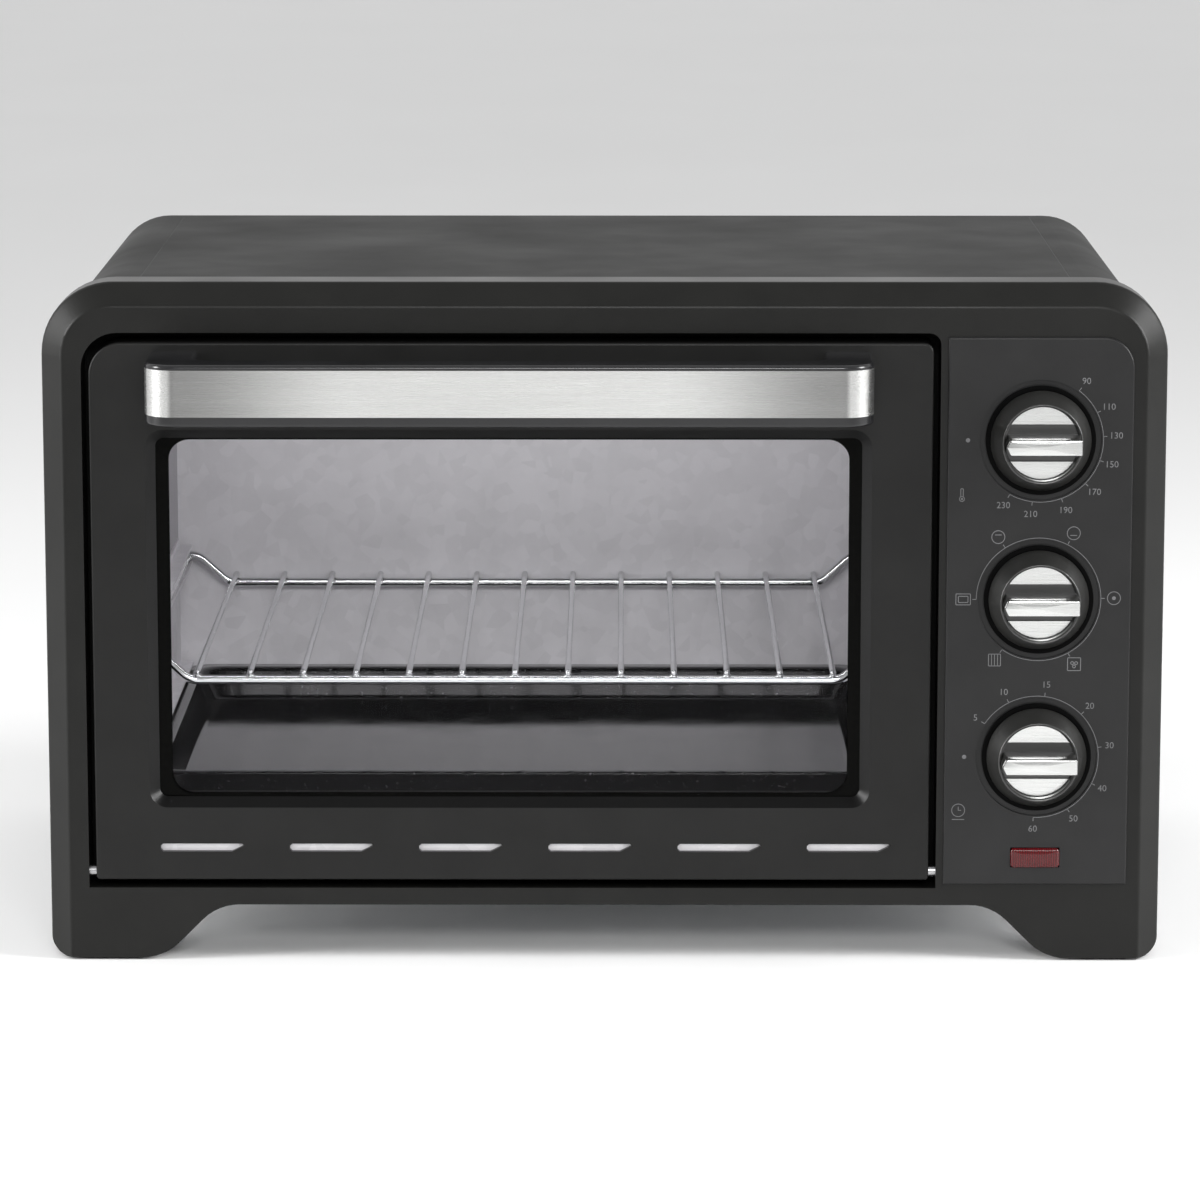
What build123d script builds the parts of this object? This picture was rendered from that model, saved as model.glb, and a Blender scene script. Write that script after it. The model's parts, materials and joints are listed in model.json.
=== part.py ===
from build123d import *
import math
import os

# Toaster oven with a drop-down glass door, three rotary controls, a wire rack and a baking tray.
# Millimetres. X runs to the right as seen from the front, Y runs to the back, Z runs up.
# The shapes below are drawn with Y = 0 on the front face of the bezel, and are moved at the end
# so that the origin is at the middle of the whole object's footprint, on the worktop.

# ---------------------------------------------------------------- driving dimensions
body_width = 465.0
body_height = 285.0
body_depth = 300.0            # bezel face to the rear edge of the cover
handle_reach = 44.0           # handle front ahead of the bezel face
gland_reach = 6.0             # cord gland behind the cover's rear edge

# front bezel
bezel_depth = 26.0
bezel_wall = 2.5
bezel_bevel = 9.0
bezel_ease = 2.5              # rounding of the bevel's two edges
bezel_radius = 30.0           # top outer corners
foot_height = 23.8            # underside of the bar between the feet
foot_top_x = 161.7            # where the bar turns down into the foot's slope, at this body width
foot_bend = 22.0              # bend radius at both ends of the slope
foot_corner = 8.0
pad_height = 1.0
frame_left = 17.0             # bezel rail left of the door opening
frame_top = 20.1
frame_bottom = 7.2
frame_right = 14.5            # bezel rail right of the control panel
lip_wall = 2.0                # return wall round the door opening
lip_depth = 18.0

# control panel
panel_width = 76.5
divider = 3.0                 # bezel left standing between door and panel
panel_thickness = 3.0
panel_proud = 1.3
panel_ledge = 5.0             # bezel left behind the panel's edge
panel_top_gap = 1.5
panel_bottom_gap = 2.0
panel_radius = 13.0

# door
side_gap = 3.0
top_gap = 4.1
bottom_gap = 3.4
door_depth = 20.0
door_wall = 2.5
door_radius = 13.5
window_left = 22.9            # door edge to the window recess
window_right = 25.0
window_top = 36.1
window_bottom = 30.9
window_radius = 7.5
window_bevel = 4.0
glass_thickness = 4.0
glass_lap = 9.0               # glass hidden behind the frame, each side
seal_thickness = 1.0
clip_foot = 8.0               # glass clip's foot beyond the pane's edge
inner_sheet = 1.2
slot_count = 6
slot_length = 35.0
slot_height = 3.4
slot_pitch = 54.0
slot_rise = 13.8              # slot centre above the door's bottom edge

# hinge
hinge_rise = 3.1              # axis above the door's bottom edge
hinge_back = 4.5              # axis behind the bezel face
pin_radius = 2.5
pin_clearance = 0.05
pin_in_door = 14.0
boss_wall = 2.2               # plastic round the pin's bore
bracket_sheet = 1.5
stud_rise = 30.0              # spring stud above the hinge axis
stud_back = 10.0
stud_radius = 1.5
spring_wire = 0.8
spring_radius = 3.6           # coil's centre line
spring_turns = 12
spring_front = 62.0           # coil's front end behind the bezel face
spring_length = 40.0
spring_hook = 26.0            # straight wire from the coil to its anchor
spring_slot = 4.2             # width of the slots that the spring's wire runs through

# handle
handle_width = 296.0
handle_height = 25.3
handle_drop = 3.4             # handle top below the door's top edge
handle_leg = 19.0
handle_bar = 16.0
handle_radius = 13.0
trim_sheet = 1.0
trim_top = 2.1                # black lip above the steel strip
trim_bottom = 4.1
trim_wrap = 30.0              # how far the strip runs back round each end

# body shell
plate_gap = 3.0               # door's back to the front plate
plate_sheet = 1.2
cover_inset = 4.5             # cover skin inside the bezel's outline
cover_sheet = 1.0
cover_emboss = 1.2
emboss_margin = 26.0
rear_recess = 2.8             # rear panel inside the cover's rear edge
rear_sheet = 1.0
pan_sheet = 1.2
pan_rise = 2.7                # base pan above the bezel bar's underside

# cavity
cavity_left_in = 12.5         # cavity wall inside the door's edge
cavity_right_in = 11.5
cavity_floor_in = 7.6
cavity_roof_in = 14.8
cavity_sheet = 1.0
cavity_radius = 12.0
cavity_depth = 261.0
shield_gap = 10.0             # cavity to the control bay's heat shield
shield_sheet = 1.0

# elements
element_radius = 3.5
element_hole_clearance = 0.4
element_lower_rise = 7.5      # element axis above the cavity floor
element_upper_drop = 10.0
element_front = 72.0          # element axes behind the front plate
element_rear = 190.0
insulator_radius = 7.0
insulator_length = 5.0

# rack, tray and the runners that carry them
runner_sheet = 1.0
runner_reach = 7.0
rack_rise = 69.0              # rack's cross wires above the cavity floor
rack_frame_radius = 2.0       # cross wires
rack_side_radius = 2.3        # side wires
rack_overhang = 1.0           # side wires past the cross wires, front and back
rack_wire_radius = 1.3
rack_pitch = 22.45
rack_drop = 12.7              # side wires above the rack's bed
rack_slope = 14.0             # sideways run of the cross wires' slope
rack_flat = 5.0               # level ends of the cross wires
rack_tip = 2.5                # bed wires past the rear cross wire
rack_depth = 240.0
rack_side_gap = 1.5
tray_rise = 29.0              # tray rim above the cavity floor
tray_sheet = 1.0
tray_height = 15.0
tray_rim = 7.0
tray_depth = 243.0
tray_side_gap = 1.5
tray_radius = 14.0
load_setback = 18.0           # rack and tray behind the front plate

# controls
knob_pitch = 66.6
knob_top = 64.3               # top knob's axis below the top of the body
knob_radius = 22.7
knob_top_radius = 16.8
knob_skirt_height = 12.0
knob_disc_radius = 15.4
knob_recess = 4.5             # bright disc behind the knob's front rim
knob_rim = 3.0                # straight edge at the skirt's foot
knob_facing = 0.8             # thickness of the bright facing
knob_bar_length = 31.4
knob_bar_width = 8.6
knob_bar_height = 22.0        # bar front ahead of the panel face
knob_gap = 0.6
dish_radius = 25.2
dish_depth = 1.2
shaft_radius = 3.0
shaft_clearance = 0.05
neck_radius = 5.0
shaft_in_body = 12.0
lens_width = 20.6
lens_height = 8.5
lens_proud = 1.4
lens_flange = 1.2
lens_rise = 44.6              # lens centre above the worktop
screw_radius = 1.9
screw_head = 3.6
screw_head_height = 1.8

# ---------------------------------------------------------------- places worked out from them
half_width = body_width / 2
front_y = (handle_reach - body_depth - gland_reach) / 2

opening_left = -half_width + frame_left
panel_right = half_width - frame_right
panel_left = panel_right - panel_width
opening_right = panel_left - divider
opening_bottom = foot_height + frame_bottom
opening_top = body_height - frame_top

door_left = opening_left + side_gap
door_right = opening_right - side_gap
door_bottom = opening_bottom + bottom_gap
door_top = opening_top - top_gap
door_mid = (door_left + door_right) / 2
door_front = 0.0
door_back = door_front + door_depth

win_left = door_left + window_left
win_right = door_right - window_right
win_bottom = door_bottom + window_bottom
win_top = door_top - window_top

hinge_z = door_bottom + hinge_rise
hinge_y = hinge_back

plate_front = door_back + plate_gap
plate_back = plate_front + plate_sheet
plate_inset = bezel_wall + 0.3

cav_left = door_left + cavity_left_in
cav_right = door_right - cavity_right_in
cav_floor = door_bottom + cavity_floor_in
cav_roof = door_top - cavity_roof_in
cav_back = plate_back + cavity_depth

cover_half = half_width - cover_inset
cover_top = body_height - cover_inset
cover_radius = bezel_radius - cover_inset
pan_bottom = foot_height + pan_rise
rear_front = body_depth - rear_recess - rear_sheet
rear_back = body_depth - rear_recess
shield_left = cav_right + cavity_sheet + shield_gap
shield_right = shield_left + shield_sheet

panel_bottom = opening_bottom + panel_bottom_gap
panel_top = opening_top - panel_top_gap
knob_x = panel_left + panel_width / 2
knob_z = [body_height - knob_top - i * knob_pitch for i in range(3)]
spring_x = (cav_left - cavity_sheet - 5.5, cav_right + cavity_sheet + 5.0)
stud_y = hinge_y + stud_back
stud_z = hinge_z + stud_rise
knob_back = -panel_proud + dish_depth - knob_gap
knob_front = -panel_proud - knob_bar_height

handle_top = door_top - handle_drop
handle_bottom = handle_top - handle_height
handle_left = door_mid - handle_width / 2
handle_right = door_mid + handle_width / 2


# ---------------------------------------------------------------- helpers
def block(x0, x1, y0, y1, z0, z1):
    """Box between three pairs of limits."""
    return Pos((x0 + x1) / 2, (y0 + y1) / 2, (z0 + z1) / 2) * Box(x1 - x0, y1 - y0, z1 - z0)


def rod_x(y, z, radius, x0, x1):
    """Round bar along X."""
    return Pos((x0 + x1) / 2, y, z) * Rot(0, 90, 0) * Cylinder(radius, x1 - x0)


def rod_y(x, z, radius, y0, y1):
    """Round bar along Y."""
    return Pos(x, (y0 + y1) / 2, z) * Rot(90, 0, 0) * Cylinder(radius, y1 - y0)


def rod_z(x, y, radius, z0, z1):
    """Round bar along Z."""
    return Pos(x, y, (z0 + z1) / 2) * Cylinder(radius, z1 - z0)


def cone_y(x, z, radius_front, radius_back, y0, y1):
    """Cone along Y, from its front radius to its back radius."""
    return Pos(x, (y0 + y1) / 2, z) * Rot(90, 0, 0) * Cone(radius_back, radius_front, y1 - y0)


def rounded(x0, x1, z0, z1, tl=0.0, tr=0.0, br=0.0, bl=0.0):
    """Rectangle in X and Z with its own radius at each corner: top left, top right and so on."""
    face = Pos((x0 + x1) / 2, (z0 + z1) / 2) * Rectangle(x1 - x0, z1 - z0)
    for x, z, radius in ((x0, z1, tl), (x1, z1, tr), (x1, z0, br), (x0, z0, bl)):
        if radius > 0.05:
            corner = face.vertices().sort_by_distance(Vector(x, z, 0))[0]
            face = fillet(corner, radius)
    return face


def slab(face, y0, y1):
    """Outline drawn in X and Z, made solid from depth y0 to depth y1."""
    plane = Plane(origin=(0, y1, 0), x_dir=(1, 0, 0), z_dir=(0, -1, 0))
    return extrude(plane * face, amount=y1 - y0)


def screw_y(x, z, y_face, length, towards=1):
    """Pan-head screw along Y: the head stands in front of y_face, or behind it for towards=-1."""
    if towards > 0:
        head = rod_y(x, z, screw_head, y_face - screw_head_height, y_face)
        shank = rod_y(x, z, screw_radius, y_face, y_face + length)
    else:
        head = rod_y(x, z, screw_head, y_face, y_face + screw_head_height)
        shank = rod_y(x, z, screw_radius, y_face - length, y_face)
    return head + shank


def spring_slot_cut(x, y0, y1):
    """Upright slot that leaves room for the spring's wire as the door swings down."""
    half = spring_slot / 2
    return block(x - half, x + half, y0 - 1, y1 + 1, hinge_z + 11, hinge_z + stud_rise + 5)


# ---------------------------------------------------------------- bezel and feet
def bezel_outline(inset):
    """Front view of the bezel with its two feet, drawn in by inset all round."""
    side = half_width - inset
    top = body_height - inset
    floor = pad_height + inset
    bar = foot_height + inset
    shift = inset * math.tan(math.radians(22.5))
    bend_x = half_width - (232.5 - foot_top_x) + shift
    toe_x = bend_x + bar - floor
    half = [(bend_x, bar), (toe_x, floor), (side, floor), (side, top)]
    points = half + [(-x, z) for x, z in reversed(half)]
    face = make_face(Polyline(*points, close=True))
    bends = {
        (bend_x, bar): foot_bend + inset,
        (toe_x, floor): foot_bend - inset,
        (side, floor): foot_corner - inset,
        (side, top): bezel_radius - inset,
    }
    for (x, z), radius in bends.items():
        for sign in (1, -1):
            corner = face.vertices().sort_by_distance(Vector(sign * x, z, 0))[0]
            face = fillet(corner, radius)
    return face


def bevelled(inset, y0, y1):
    """Block with the bezel's sides and top, its front edge bevelled, running on below the feet."""
    side = half_width - inset
    radius = bezel_radius - inset
    block_face = rounded(-side, side, -60, body_height - inset, *(4 * [radius]))
    solid = slab(block_face, y0, y1)
    front = solid.faces().sort_by(Axis.Y)[0]
    solid = chamfer(front.edges(), bezel_bevel - 0.4 * inset)
    rim = [e for e in solid.faces().sort_by(Axis.Y)[0].edges()]
    shoulder = [e for e in solid.edges() if abs(e.center().Y - y0 - bezel_bevel + 0.4 * inset) < 0.01]
    return fillet(rim + shoulder, bezel_ease)


def front_bezel():
    outer = slab(bezel_outline(0), 0, bezel_depth) & bevelled(0, 0, bezel_depth)
    hollow = slab(bezel_outline(bezel_wall), bezel_wall, bezel_depth + 1)
    hollow = hollow & bevelled(bezel_wall, bezel_wall, bezel_depth + 1)
    shell = outer - hollow
    radii = (door_radius + 1.5, 5.0, 0, 0)
    opening = rounded(opening_left, opening_right, opening_bottom, opening_top, *radii)
    lip_radii = (door_radius + 1.5 + lip_wall, 5.0 + lip_wall, 0, 0)
    lip_face = rounded(
        opening_left - lip_wall,
        opening_right + lip_wall,
        opening_bottom - lip_wall,
        opening_top + lip_wall,
        *lip_radii,
    )
    shell = shell + slab(lip_face, bezel_wall, lip_depth)
    shell = shell - slab(opening, -1, bezel_depth + 1)
    pocket = rounded(panel_left, panel_right, panel_bottom, panel_top, 0, panel_radius, 0, 0)
    shell = shell - slab(pocket, -1, panel_thickness - panel_proud)
    well = rounded(
        panel_left + panel_ledge,
        panel_right - panel_ledge,
        panel_bottom + panel_ledge,
        panel_top - panel_ledge,
        *(4 * [panel_radius - panel_ledge]),
    )
    shell = shell - slab(well, -1, bezel_depth + 1)
    return shell - hinge_pin(-1) - hinge_pin(1)


def foot_pads():
    """Thin pads under the two front feet."""
    pads = []
    for sign in (-1, 1):
        x = sign * (half_width - 21)
        pads.append(block(x - 12, x + 12, 5, bezel_depth - 2, 0, pad_height))
    return Compound(children=pads)


def rear_feet():
    """Two moulded feet under the back of the base pan."""
    feet = []
    for sign in (-1, 1):
        x = sign * (half_width - 34)
        top = Pos(x, body_depth - 40, pan_bottom) * RectangleRounded(34, 26, 6)
        toe = Pos(x, body_depth - 40, 0) * RectangleRounded(25, 19, 5)
        feet.append(loft([toe, top]))
    return Compound(children=feet)


# ---------------------------------------------------------------- body shell
def front_plate():
    """Steel plate behind the bezel: it carries the cavity, the hinges and the controls."""
    side = half_width - plate_inset
    radius = bezel_radius - plate_inset
    bottom = foot_height + bezel_wall + 0.3
    face = rounded(-side, side, bottom, body_height - plate_inset, radius, radius, 0, 0)
    plate = slab(face, plate_front, plate_back)
    hole = rounded(cav_left, cav_right, cav_floor, cav_roof, *(4 * [cavity_radius]))
    plate = plate - slab(hole, plate_front - 1, plate_back + 1)
    for z in knob_z:
        plate = plate - rod_y(knob_x, z, neck_radius, plate_front - 1, plate_back + 1)
    for x in spring_x:
        plate = plate - spring_slot_cut(x, plate_front, plate_back)
    return plate


def outer_cover():
    """Sheet cover over the top and both sides, with a raised panel on top and vents at the right."""
    y0 = plate_back
    y1 = body_depth
    outer = rounded(-cover_half, cover_half, pan_bottom, cover_top, cover_radius, cover_radius, 0, 0)
    inner_radius = cover_radius - cover_sheet
    inner = rounded(
        -cover_half + cover_sheet,
        cover_half - cover_sheet,
        pan_bottom - 1,
        cover_top - cover_sheet,
        inner_radius,
        inner_radius,
        0,
        0,
    )
    skin = slab(outer - inner, y0, y1)
    x = cover_half - cover_radius - emboss_margin / 4
    raised = block(-x, x, y0 + 16, y1 - 14, cover_top - 0.2, cover_top + cover_emboss)
    raised = chamfer(raised.faces().sort_by(Axis.Z)[-1].edges(), cover_emboss)
    skin = skin + raised
    vent_z = (pan_bottom + cover_top) / 2
    for row in range(2):
        for i in range(7):
            y = y0 + 56 + 16 * i
            z = vent_z + (row - 0.5) * 46
            skin = skin - block(cover_half - 3, cover_half + 1, y, y + 4, z - 17, z + 17)
    return skin


def base_pan():
    """Floor of the body with turned-up side flanges and cooling slots."""
    side = cover_half - cover_sheet
    pan = block(-side, side, plate_back, rear_front, pan_bottom, pan_bottom + pan_sheet)
    for sign in (-1, 1):
        inner = sign * (side - pan_sheet)
        x0, x1 = sorted((inner, sign * side))
        pan = pan + block(x0, x1, plate_back, rear_front, pan_bottom, pan_bottom + 11)
    for i in range(9):
        x = (i - 4) * 40
        pan = pan - block(x - 12, x + 12, 110, 114, pan_bottom - 1, pan_bottom + pan_sheet + 1)
        pan = pan - block(x - 12, x + 12, 190, 194, pan_bottom - 1, pan_bottom + pan_sheet + 1)
    return pan


gland_x = cover_half - 40
gland_z = pan_bottom + 36
gland_bore = 4.2
gland_neck = 7.0


def rear_screw_places():
    """Rear panel screws: three along the top and two down each side."""
    side = cover_half - 11
    top = cover_top - 11
    low = pan_bottom + 16
    mid = (low + top) / 2
    return [(-side + 12, top), (0, top), (side - 12, top), (-side, mid), (side, mid), (-side, low), (side, low)]


def rear_panel():
    """Back plate with rows of vents, its screw holes and the cord gland's hole."""
    side = cover_half - cover_sheet
    radius = cover_radius - cover_sheet
    face = rounded(-side, side, pan_bottom, cover_top - cover_sheet, radius, radius, 0, 0)
    plate = slab(face, rear_front, rear_back)
    x0 = cav_left + 30
    x1 = cav_right - 30
    count = 8
    pitch = (x1 - x0) / count
    for z in (cav_roof - 22, cav_roof - 36, cav_floor + 26, cav_floor + 12):
        for i in range(count):
            x = x0 + (i + 0.5) * pitch
            plate = plate - slab(Pos(x, z) * SlotOverall(pitch * 0.72, 4.5), rear_front - 1, rear_back + 1)
    plate = plate - rod_y(gland_x, gland_z, gland_neck, rear_front - 1, rear_back + 1)
    for x, z in rear_screw_places():
        plate = plate - rod_y(x, z, screw_radius, rear_front - 1, rear_back + 1)
    return plate


def rear_screws():
    return Compound(children=[screw_y(x, z, rear_back, 4, -1) for x, z in rear_screw_places()])


def cord_gland():
    """Bushing where the supply lead enters the body; the lead itself isn't modelled."""
    flange = rod_y(gland_x, gland_z, gland_neck + 3, rear_back, rear_back + 2.2)
    nose_back = body_depth + gland_reach
    nose = cone_y(gland_x, gland_z, gland_neck, gland_neck - 1.2, rear_back + 2.2, nose_back)
    neck = rod_y(gland_x, gland_z, gland_neck, rear_front - 4, rear_back)
    bore = rod_y(gland_x, gland_z, gland_bore, rear_front - 5, nose_back + 1)
    return flange + nose + neck - bore


def cover_screws():
    """Screws through each side of the cover into the base pan's flanges."""
    screws = []
    for sign in (-1, 1):
        for y in (plate_back + 24, body_depth - 30):
            x_skin = sign * cover_half
            x0, x1 = sorted((x_skin, sign * (cover_half + 1.6)))
            screws.append(rod_x(y, pan_bottom + 6, screw_head, x0, x1))
    return Compound(children=screws)


def heat_shield():
    """Partition between the hot cavity and the control bay, with a foot on the base pan."""
    z0 = pan_bottom + pan_sheet
    z1 = cover_top - cover_sheet - 2
    wall = block(shield_left, shield_right, plate_back, rear_front, z0, z1)
    foot = block(shield_right, shield_right + 10, plate_back + 10, rear_front - 10, z0, z0 + shield_sheet)
    for i in range(4):
        y = 110 + 30 * i
        wall = wall - block(shield_left - 1, shield_right + 1, y, y + 18, z1 - 24, z1 - 18)
    return wall + foot


# ---------------------------------------------------------------- cavity
def element_axes():
    """Y and Z of the four heating elements, by name."""
    low = cav_floor + element_lower_rise
    high = cav_roof - element_upper_drop
    ys = {"front": plate_back + element_front, "rear": plate_back + element_rear}
    zs = {"lower": low, "upper": high}
    return {f"{level}_{place}_element": (ys[place], zs[level]) for level in zs for place in ys}


def cavity_shell():
    """Folded tube of aluminised steel, open at the front, with holes for the elements."""
    radii = 4 * [cavity_radius]
    t = cavity_sheet
    outer_radii = 4 * [cavity_radius + t]
    inner = rounded(cav_left, cav_right, cav_floor, cav_roof, *radii)
    outer = rounded(cav_left - t, cav_right + t, cav_floor - t, cav_roof + t, *outer_radii)
    tube = slab(outer - inner, plate_back, cav_back)
    hole = element_radius + element_hole_clearance
    for y, z in element_axes().values():
        tube = tube - rod_x(y, z, hole, cav_left - 5, cav_left + 5)
        tube = tube - rod_x(y, z, hole, cav_right - 5, cav_right + 5)
    return tube


def cavity_back():
    """Back wall of the cavity with a shallow pressed panel that stiffens it."""
    t = cavity_sheet
    face = rounded(cav_left - t, cav_right + t, cav_floor - t, cav_roof + t, *(4 * [cavity_radius + t]))
    wall = slab(face, cav_back, cav_back + t)
    margin = 26
    radii = 4 * [10.0]
    pressed = rounded(cav_left + margin, cav_right - margin, cav_floor + margin, cav_roof - margin, *radii)
    return wall + slab(pressed, cav_back + t, cav_back + t + 1.5)


def heating_element(y, z):
    """Straight sheathed rod through both side walls, with a threaded terminal at each end."""
    reach = cavity_sheet + insulator_length + 1
    rod = rod_x(y, z, element_radius, cav_left - reach, cav_right + reach)
    for x, sign in ((cav_left - reach, -1), (cav_right + reach, 1)):
        x0, x1 = sorted((x, x + sign * 2.4))
        rod = rod + rod_x(y, z, element_radius / 2, x0, x1)
    return rod


def element_insulators():
    """Ceramic collars that hold the elements outside the side walls."""
    collars = []
    for y, z in element_axes().values():
        for face_x, sign in ((cav_left - cavity_sheet, -1), (cav_right + cavity_sheet, 1)):
            x0, x1 = sorted((face_x, face_x + sign * insulator_length))
            collar = rod_x(y, z, insulator_radius, x0, x1)
            collars.append(collar - rod_x(y, z, element_radius, x0 - 1, x1 + 1))
    return Compound(children=collars)


rack_z = cav_floor + rack_rise
side_wire_z = rack_z + rack_drop
tray_z = cav_floor + tray_rise


def runner(sign):
    """Pressed side rail: a web on the cavity wall with ledges for the tray and the rack."""
    wall = cav_left if sign < 0 else cav_right
    y0 = plate_back + 8
    y1 = cav_back - 6

    def strip(depth, z0, z1):
        x0, x1 = sorted((wall, wall - sign * depth))
        return block(x0, x1, y0, y1, z0, z1)

    under_tray = tray_z - tray_sheet - 0.3
    under_rack = side_wire_z - rack_side_radius - 0.3
    over_rack = side_wire_z + rack_side_radius + 1.6
    rail = strip(runner_sheet, under_tray - 4, over_rack + 4)
    for z1 in (under_tray, under_rack):
        rail = rail + strip(runner_reach, z1 - runner_sheet, z1)
    for z0 in (tray_z + 1.6, over_rack):
        rail = rail + strip(runner_reach, z0, z0 + runner_sheet)
    return rail


# ---------------------------------------------------------------- rack and tray
load_front = plate_back + load_setback


def rack_outer_x():
    inset = runner_sheet + rack_side_gap + rack_side_radius
    return cav_left + inset, cav_right - inset


def rack_frame():
    """Two cross wires that drop from the side wires to the rack's bed, joined at the sides."""
    left, right = rack_outer_x()
    bed_left = left + rack_flat + rack_slope
    bed_right = right - rack_flat - rack_slope
    wires = []
    for y in (load_front + rack_frame_radius, load_front + rack_depth - rack_frame_radius):
        points = [
            (left, y, side_wire_z),
            (left + rack_flat, y, side_wire_z),
            (bed_left, y, rack_z),
            (bed_right, y, rack_z),
            (right - rack_flat, y, side_wire_z),
            (right, y, side_wire_z),
        ]
        path = FilletPolyline(*points, radius=4.0)
        start = Plane(origin=points[0], z_dir=(1, 0, 0))
        wires.append(sweep(start * Circle(rack_frame_radius), path=path))
    frame = wires[0] + wires[1]
    for x in (left, right):
        y1 = load_front + rack_depth + rack_overhang
        frame = frame + rod_y(x, side_wire_z, rack_side_radius, load_front - rack_overhang, y1)
    return frame


def rack_wires():
    """Bed wires from front to back, welded on top of the cross wires, with short tips."""
    left, right = rack_outer_x()
    span = right - left - 2 * (rack_flat + rack_slope) - 4
    count = int(span // rack_pitch) + 1
    mid = (left + right) / 2
    z = rack_z + rack_frame_radius + rack_wire_radius
    y1 = load_front + rack_depth + rack_tip
    wires = []
    for i in range(count):
        x = mid + (i - (count - 1) / 2) * rack_pitch
        wires.append(rod_y(x, z, rack_wire_radius, load_front + 0.5, y1))
    return Compound(children=wires)


def baking_tray():
    """Pressed tray with sloping walls and a flat rim that slides between the ledges."""
    gap = runner_sheet + tray_side_gap
    x0 = cav_left + gap
    x1 = cav_right - gap
    y0 = load_front
    y1 = load_front + tray_depth
    mid_x = (x0 + x1) / 2
    mid_y = (y0 + y1) / 2
    width = x1 - x0
    length = y1 - y0
    lean = 6.0

    def level(shrink, z):
        sketch = RectangleRounded(width - 2 * shrink, length - 2 * shrink, tray_radius - shrink / 4)
        return Pos(mid_x, mid_y, z) * sketch

    rim_low = tray_z - tray_sheet
    floor = tray_z - tray_height
    rim = extrude(level(0, rim_low), amount=tray_sheet)
    bowl = loft([level(tray_rim + lean, floor), level(tray_rim, tray_z)])
    inner = loft([level(tray_rim + lean + tray_sheet, floor + tray_sheet), level(tray_rim + tray_sheet, tray_z + 0.01)])
    return rim + bowl - inner


# ---------------------------------------------------------------- door
def window_face(grow):
    radius = max(window_radius + grow, 0.5)
    return rounded(win_left - grow, win_right + grow, win_bottom - grow, win_top + grow, *(4 * [radius]))


def slot_centres():
    middle = (slot_count - 1) / 2
    return [(door_mid + 5.6 + (i - middle) * slot_pitch, door_bottom + slot_rise) for i in range(slot_count)]


def slot_face(x, z):
    """Long slot whose two ends lean the same way."""
    half = slot_length / 2
    rise = slot_height / 2
    lean = 3.2
    points = [(x - half + 1, z - rise), (x + half - lean - 2, z - rise), (x + half, z + rise - 0.9)]
    points = points + [(x + half - 1, z + rise), (x - half + 1, z + rise), (x - half, z + rise - 0.9)]
    points = points + [(x - half, z - rise + 1)]
    return make_face(Polyline(*points, close=True))


def panel_screw_places():
    """Six places down the door's two sides."""
    xs = (door_left + 9, door_right - 9)
    zs = (door_bottom + 14, (door_bottom + door_top) / 2, door_top - 14)
    return [(x, z) for x in xs for z in zs]


def panel_screw(x, z):
    """Countersunk head through the inner panel, with its shank in the boss in front."""
    shank = rod_y(x, z, 1.4, door_back - inner_sheet - 7, door_back - inner_sheet)
    return shank + cone_y(x, z, 1.4, 2.9, door_back - inner_sheet, door_back + 0.1)


def panel_bosses():
    return [rod_y(x, z, 3.4, door_wall, door_back - inner_sheet) for x, z in panel_screw_places()]


def door_frame():
    """Moulded front frame of the door: a tray open at the back, with the window and the vents."""
    radii = (door_radius, 4.0, 1.5, 1.5)
    face = rounded(door_left, door_right, door_bottom, door_top, *radii)
    body = slab(face, door_front, door_back - inner_sheet)
    front = body.faces().sort_by(Axis.Y)[0]
    body = fillet(front.edges(), 1.0)
    w = door_wall
    inner_radii = (door_radius - w, 1.5, 0, 0)
    pocket = rounded(door_left + w, door_right - w, door_bottom + w, door_top - w, *inner_radii)
    body = body - slab(pocket, door_front + w, door_back + 1)
    deep = window_bevel + door_front
    body = body + slab(window_face(3), door_front + w - 0.5, deep)
    plug = loft(
        [
            Plane(origin=(0, door_front - 0.01, 0), x_dir=(1, 0, 0), z_dir=(0, -1, 0)) * window_face(0),
            Plane(origin=(0, deep + 0.01, 0), x_dir=(1, 0, 0), z_dir=(0, -1, 0)) * window_face(-window_bevel),
        ]
    )
    body = body - plug
    for boss, (x, z) in zip(panel_bosses(), panel_screw_places()):
        body = body + boss - panel_screw(x, z)
    for x, z in slot_centres():
        body = body - slab(slot_face(x, z), door_front - 1, door_front + w + 1)
    for x, sign in ((door_left, 1), (door_right, -1)):
        reach = pin_in_door + boss_wall
        x0, x1 = sorted((x + sign * w, x + sign * reach))
        edge = pin_radius + boss_wall
        body = body + block(x0, x1, w - 0.5, hinge_y + edge, door_bottom + w - 0.5, hinge_z + edge)
        x0, x1 = sorted((x - sign, x + sign * (pin_in_door + pin_clearance)))
        body = body - rod_x(hinge_y, hinge_z, pin_radius + pin_clearance, x0, x1)
    return body


glass_grow = glass_lap - window_bevel
seal_front = window_bevel
glass_front = seal_front + seal_thickness


def glass_seal():
    outer = window_face(-window_bevel + 6)
    inner = window_face(-window_bevel + 1)
    return slab(outer - inner, seal_front, glass_front)


def door_glass():
    return slab(window_face(glass_grow), glass_front, glass_front + glass_thickness)


def clip_places():
    """Glass clips: two along the top and two along the bottom of the pane."""
    x0 = win_left + 45
    x1 = win_right - 45
    top = win_top + glass_grow
    bottom = win_bottom - glass_grow
    return [(x0, top, 1), (x1, top, 1), (x0, bottom, -1), (x1, bottom, -1)]


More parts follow.
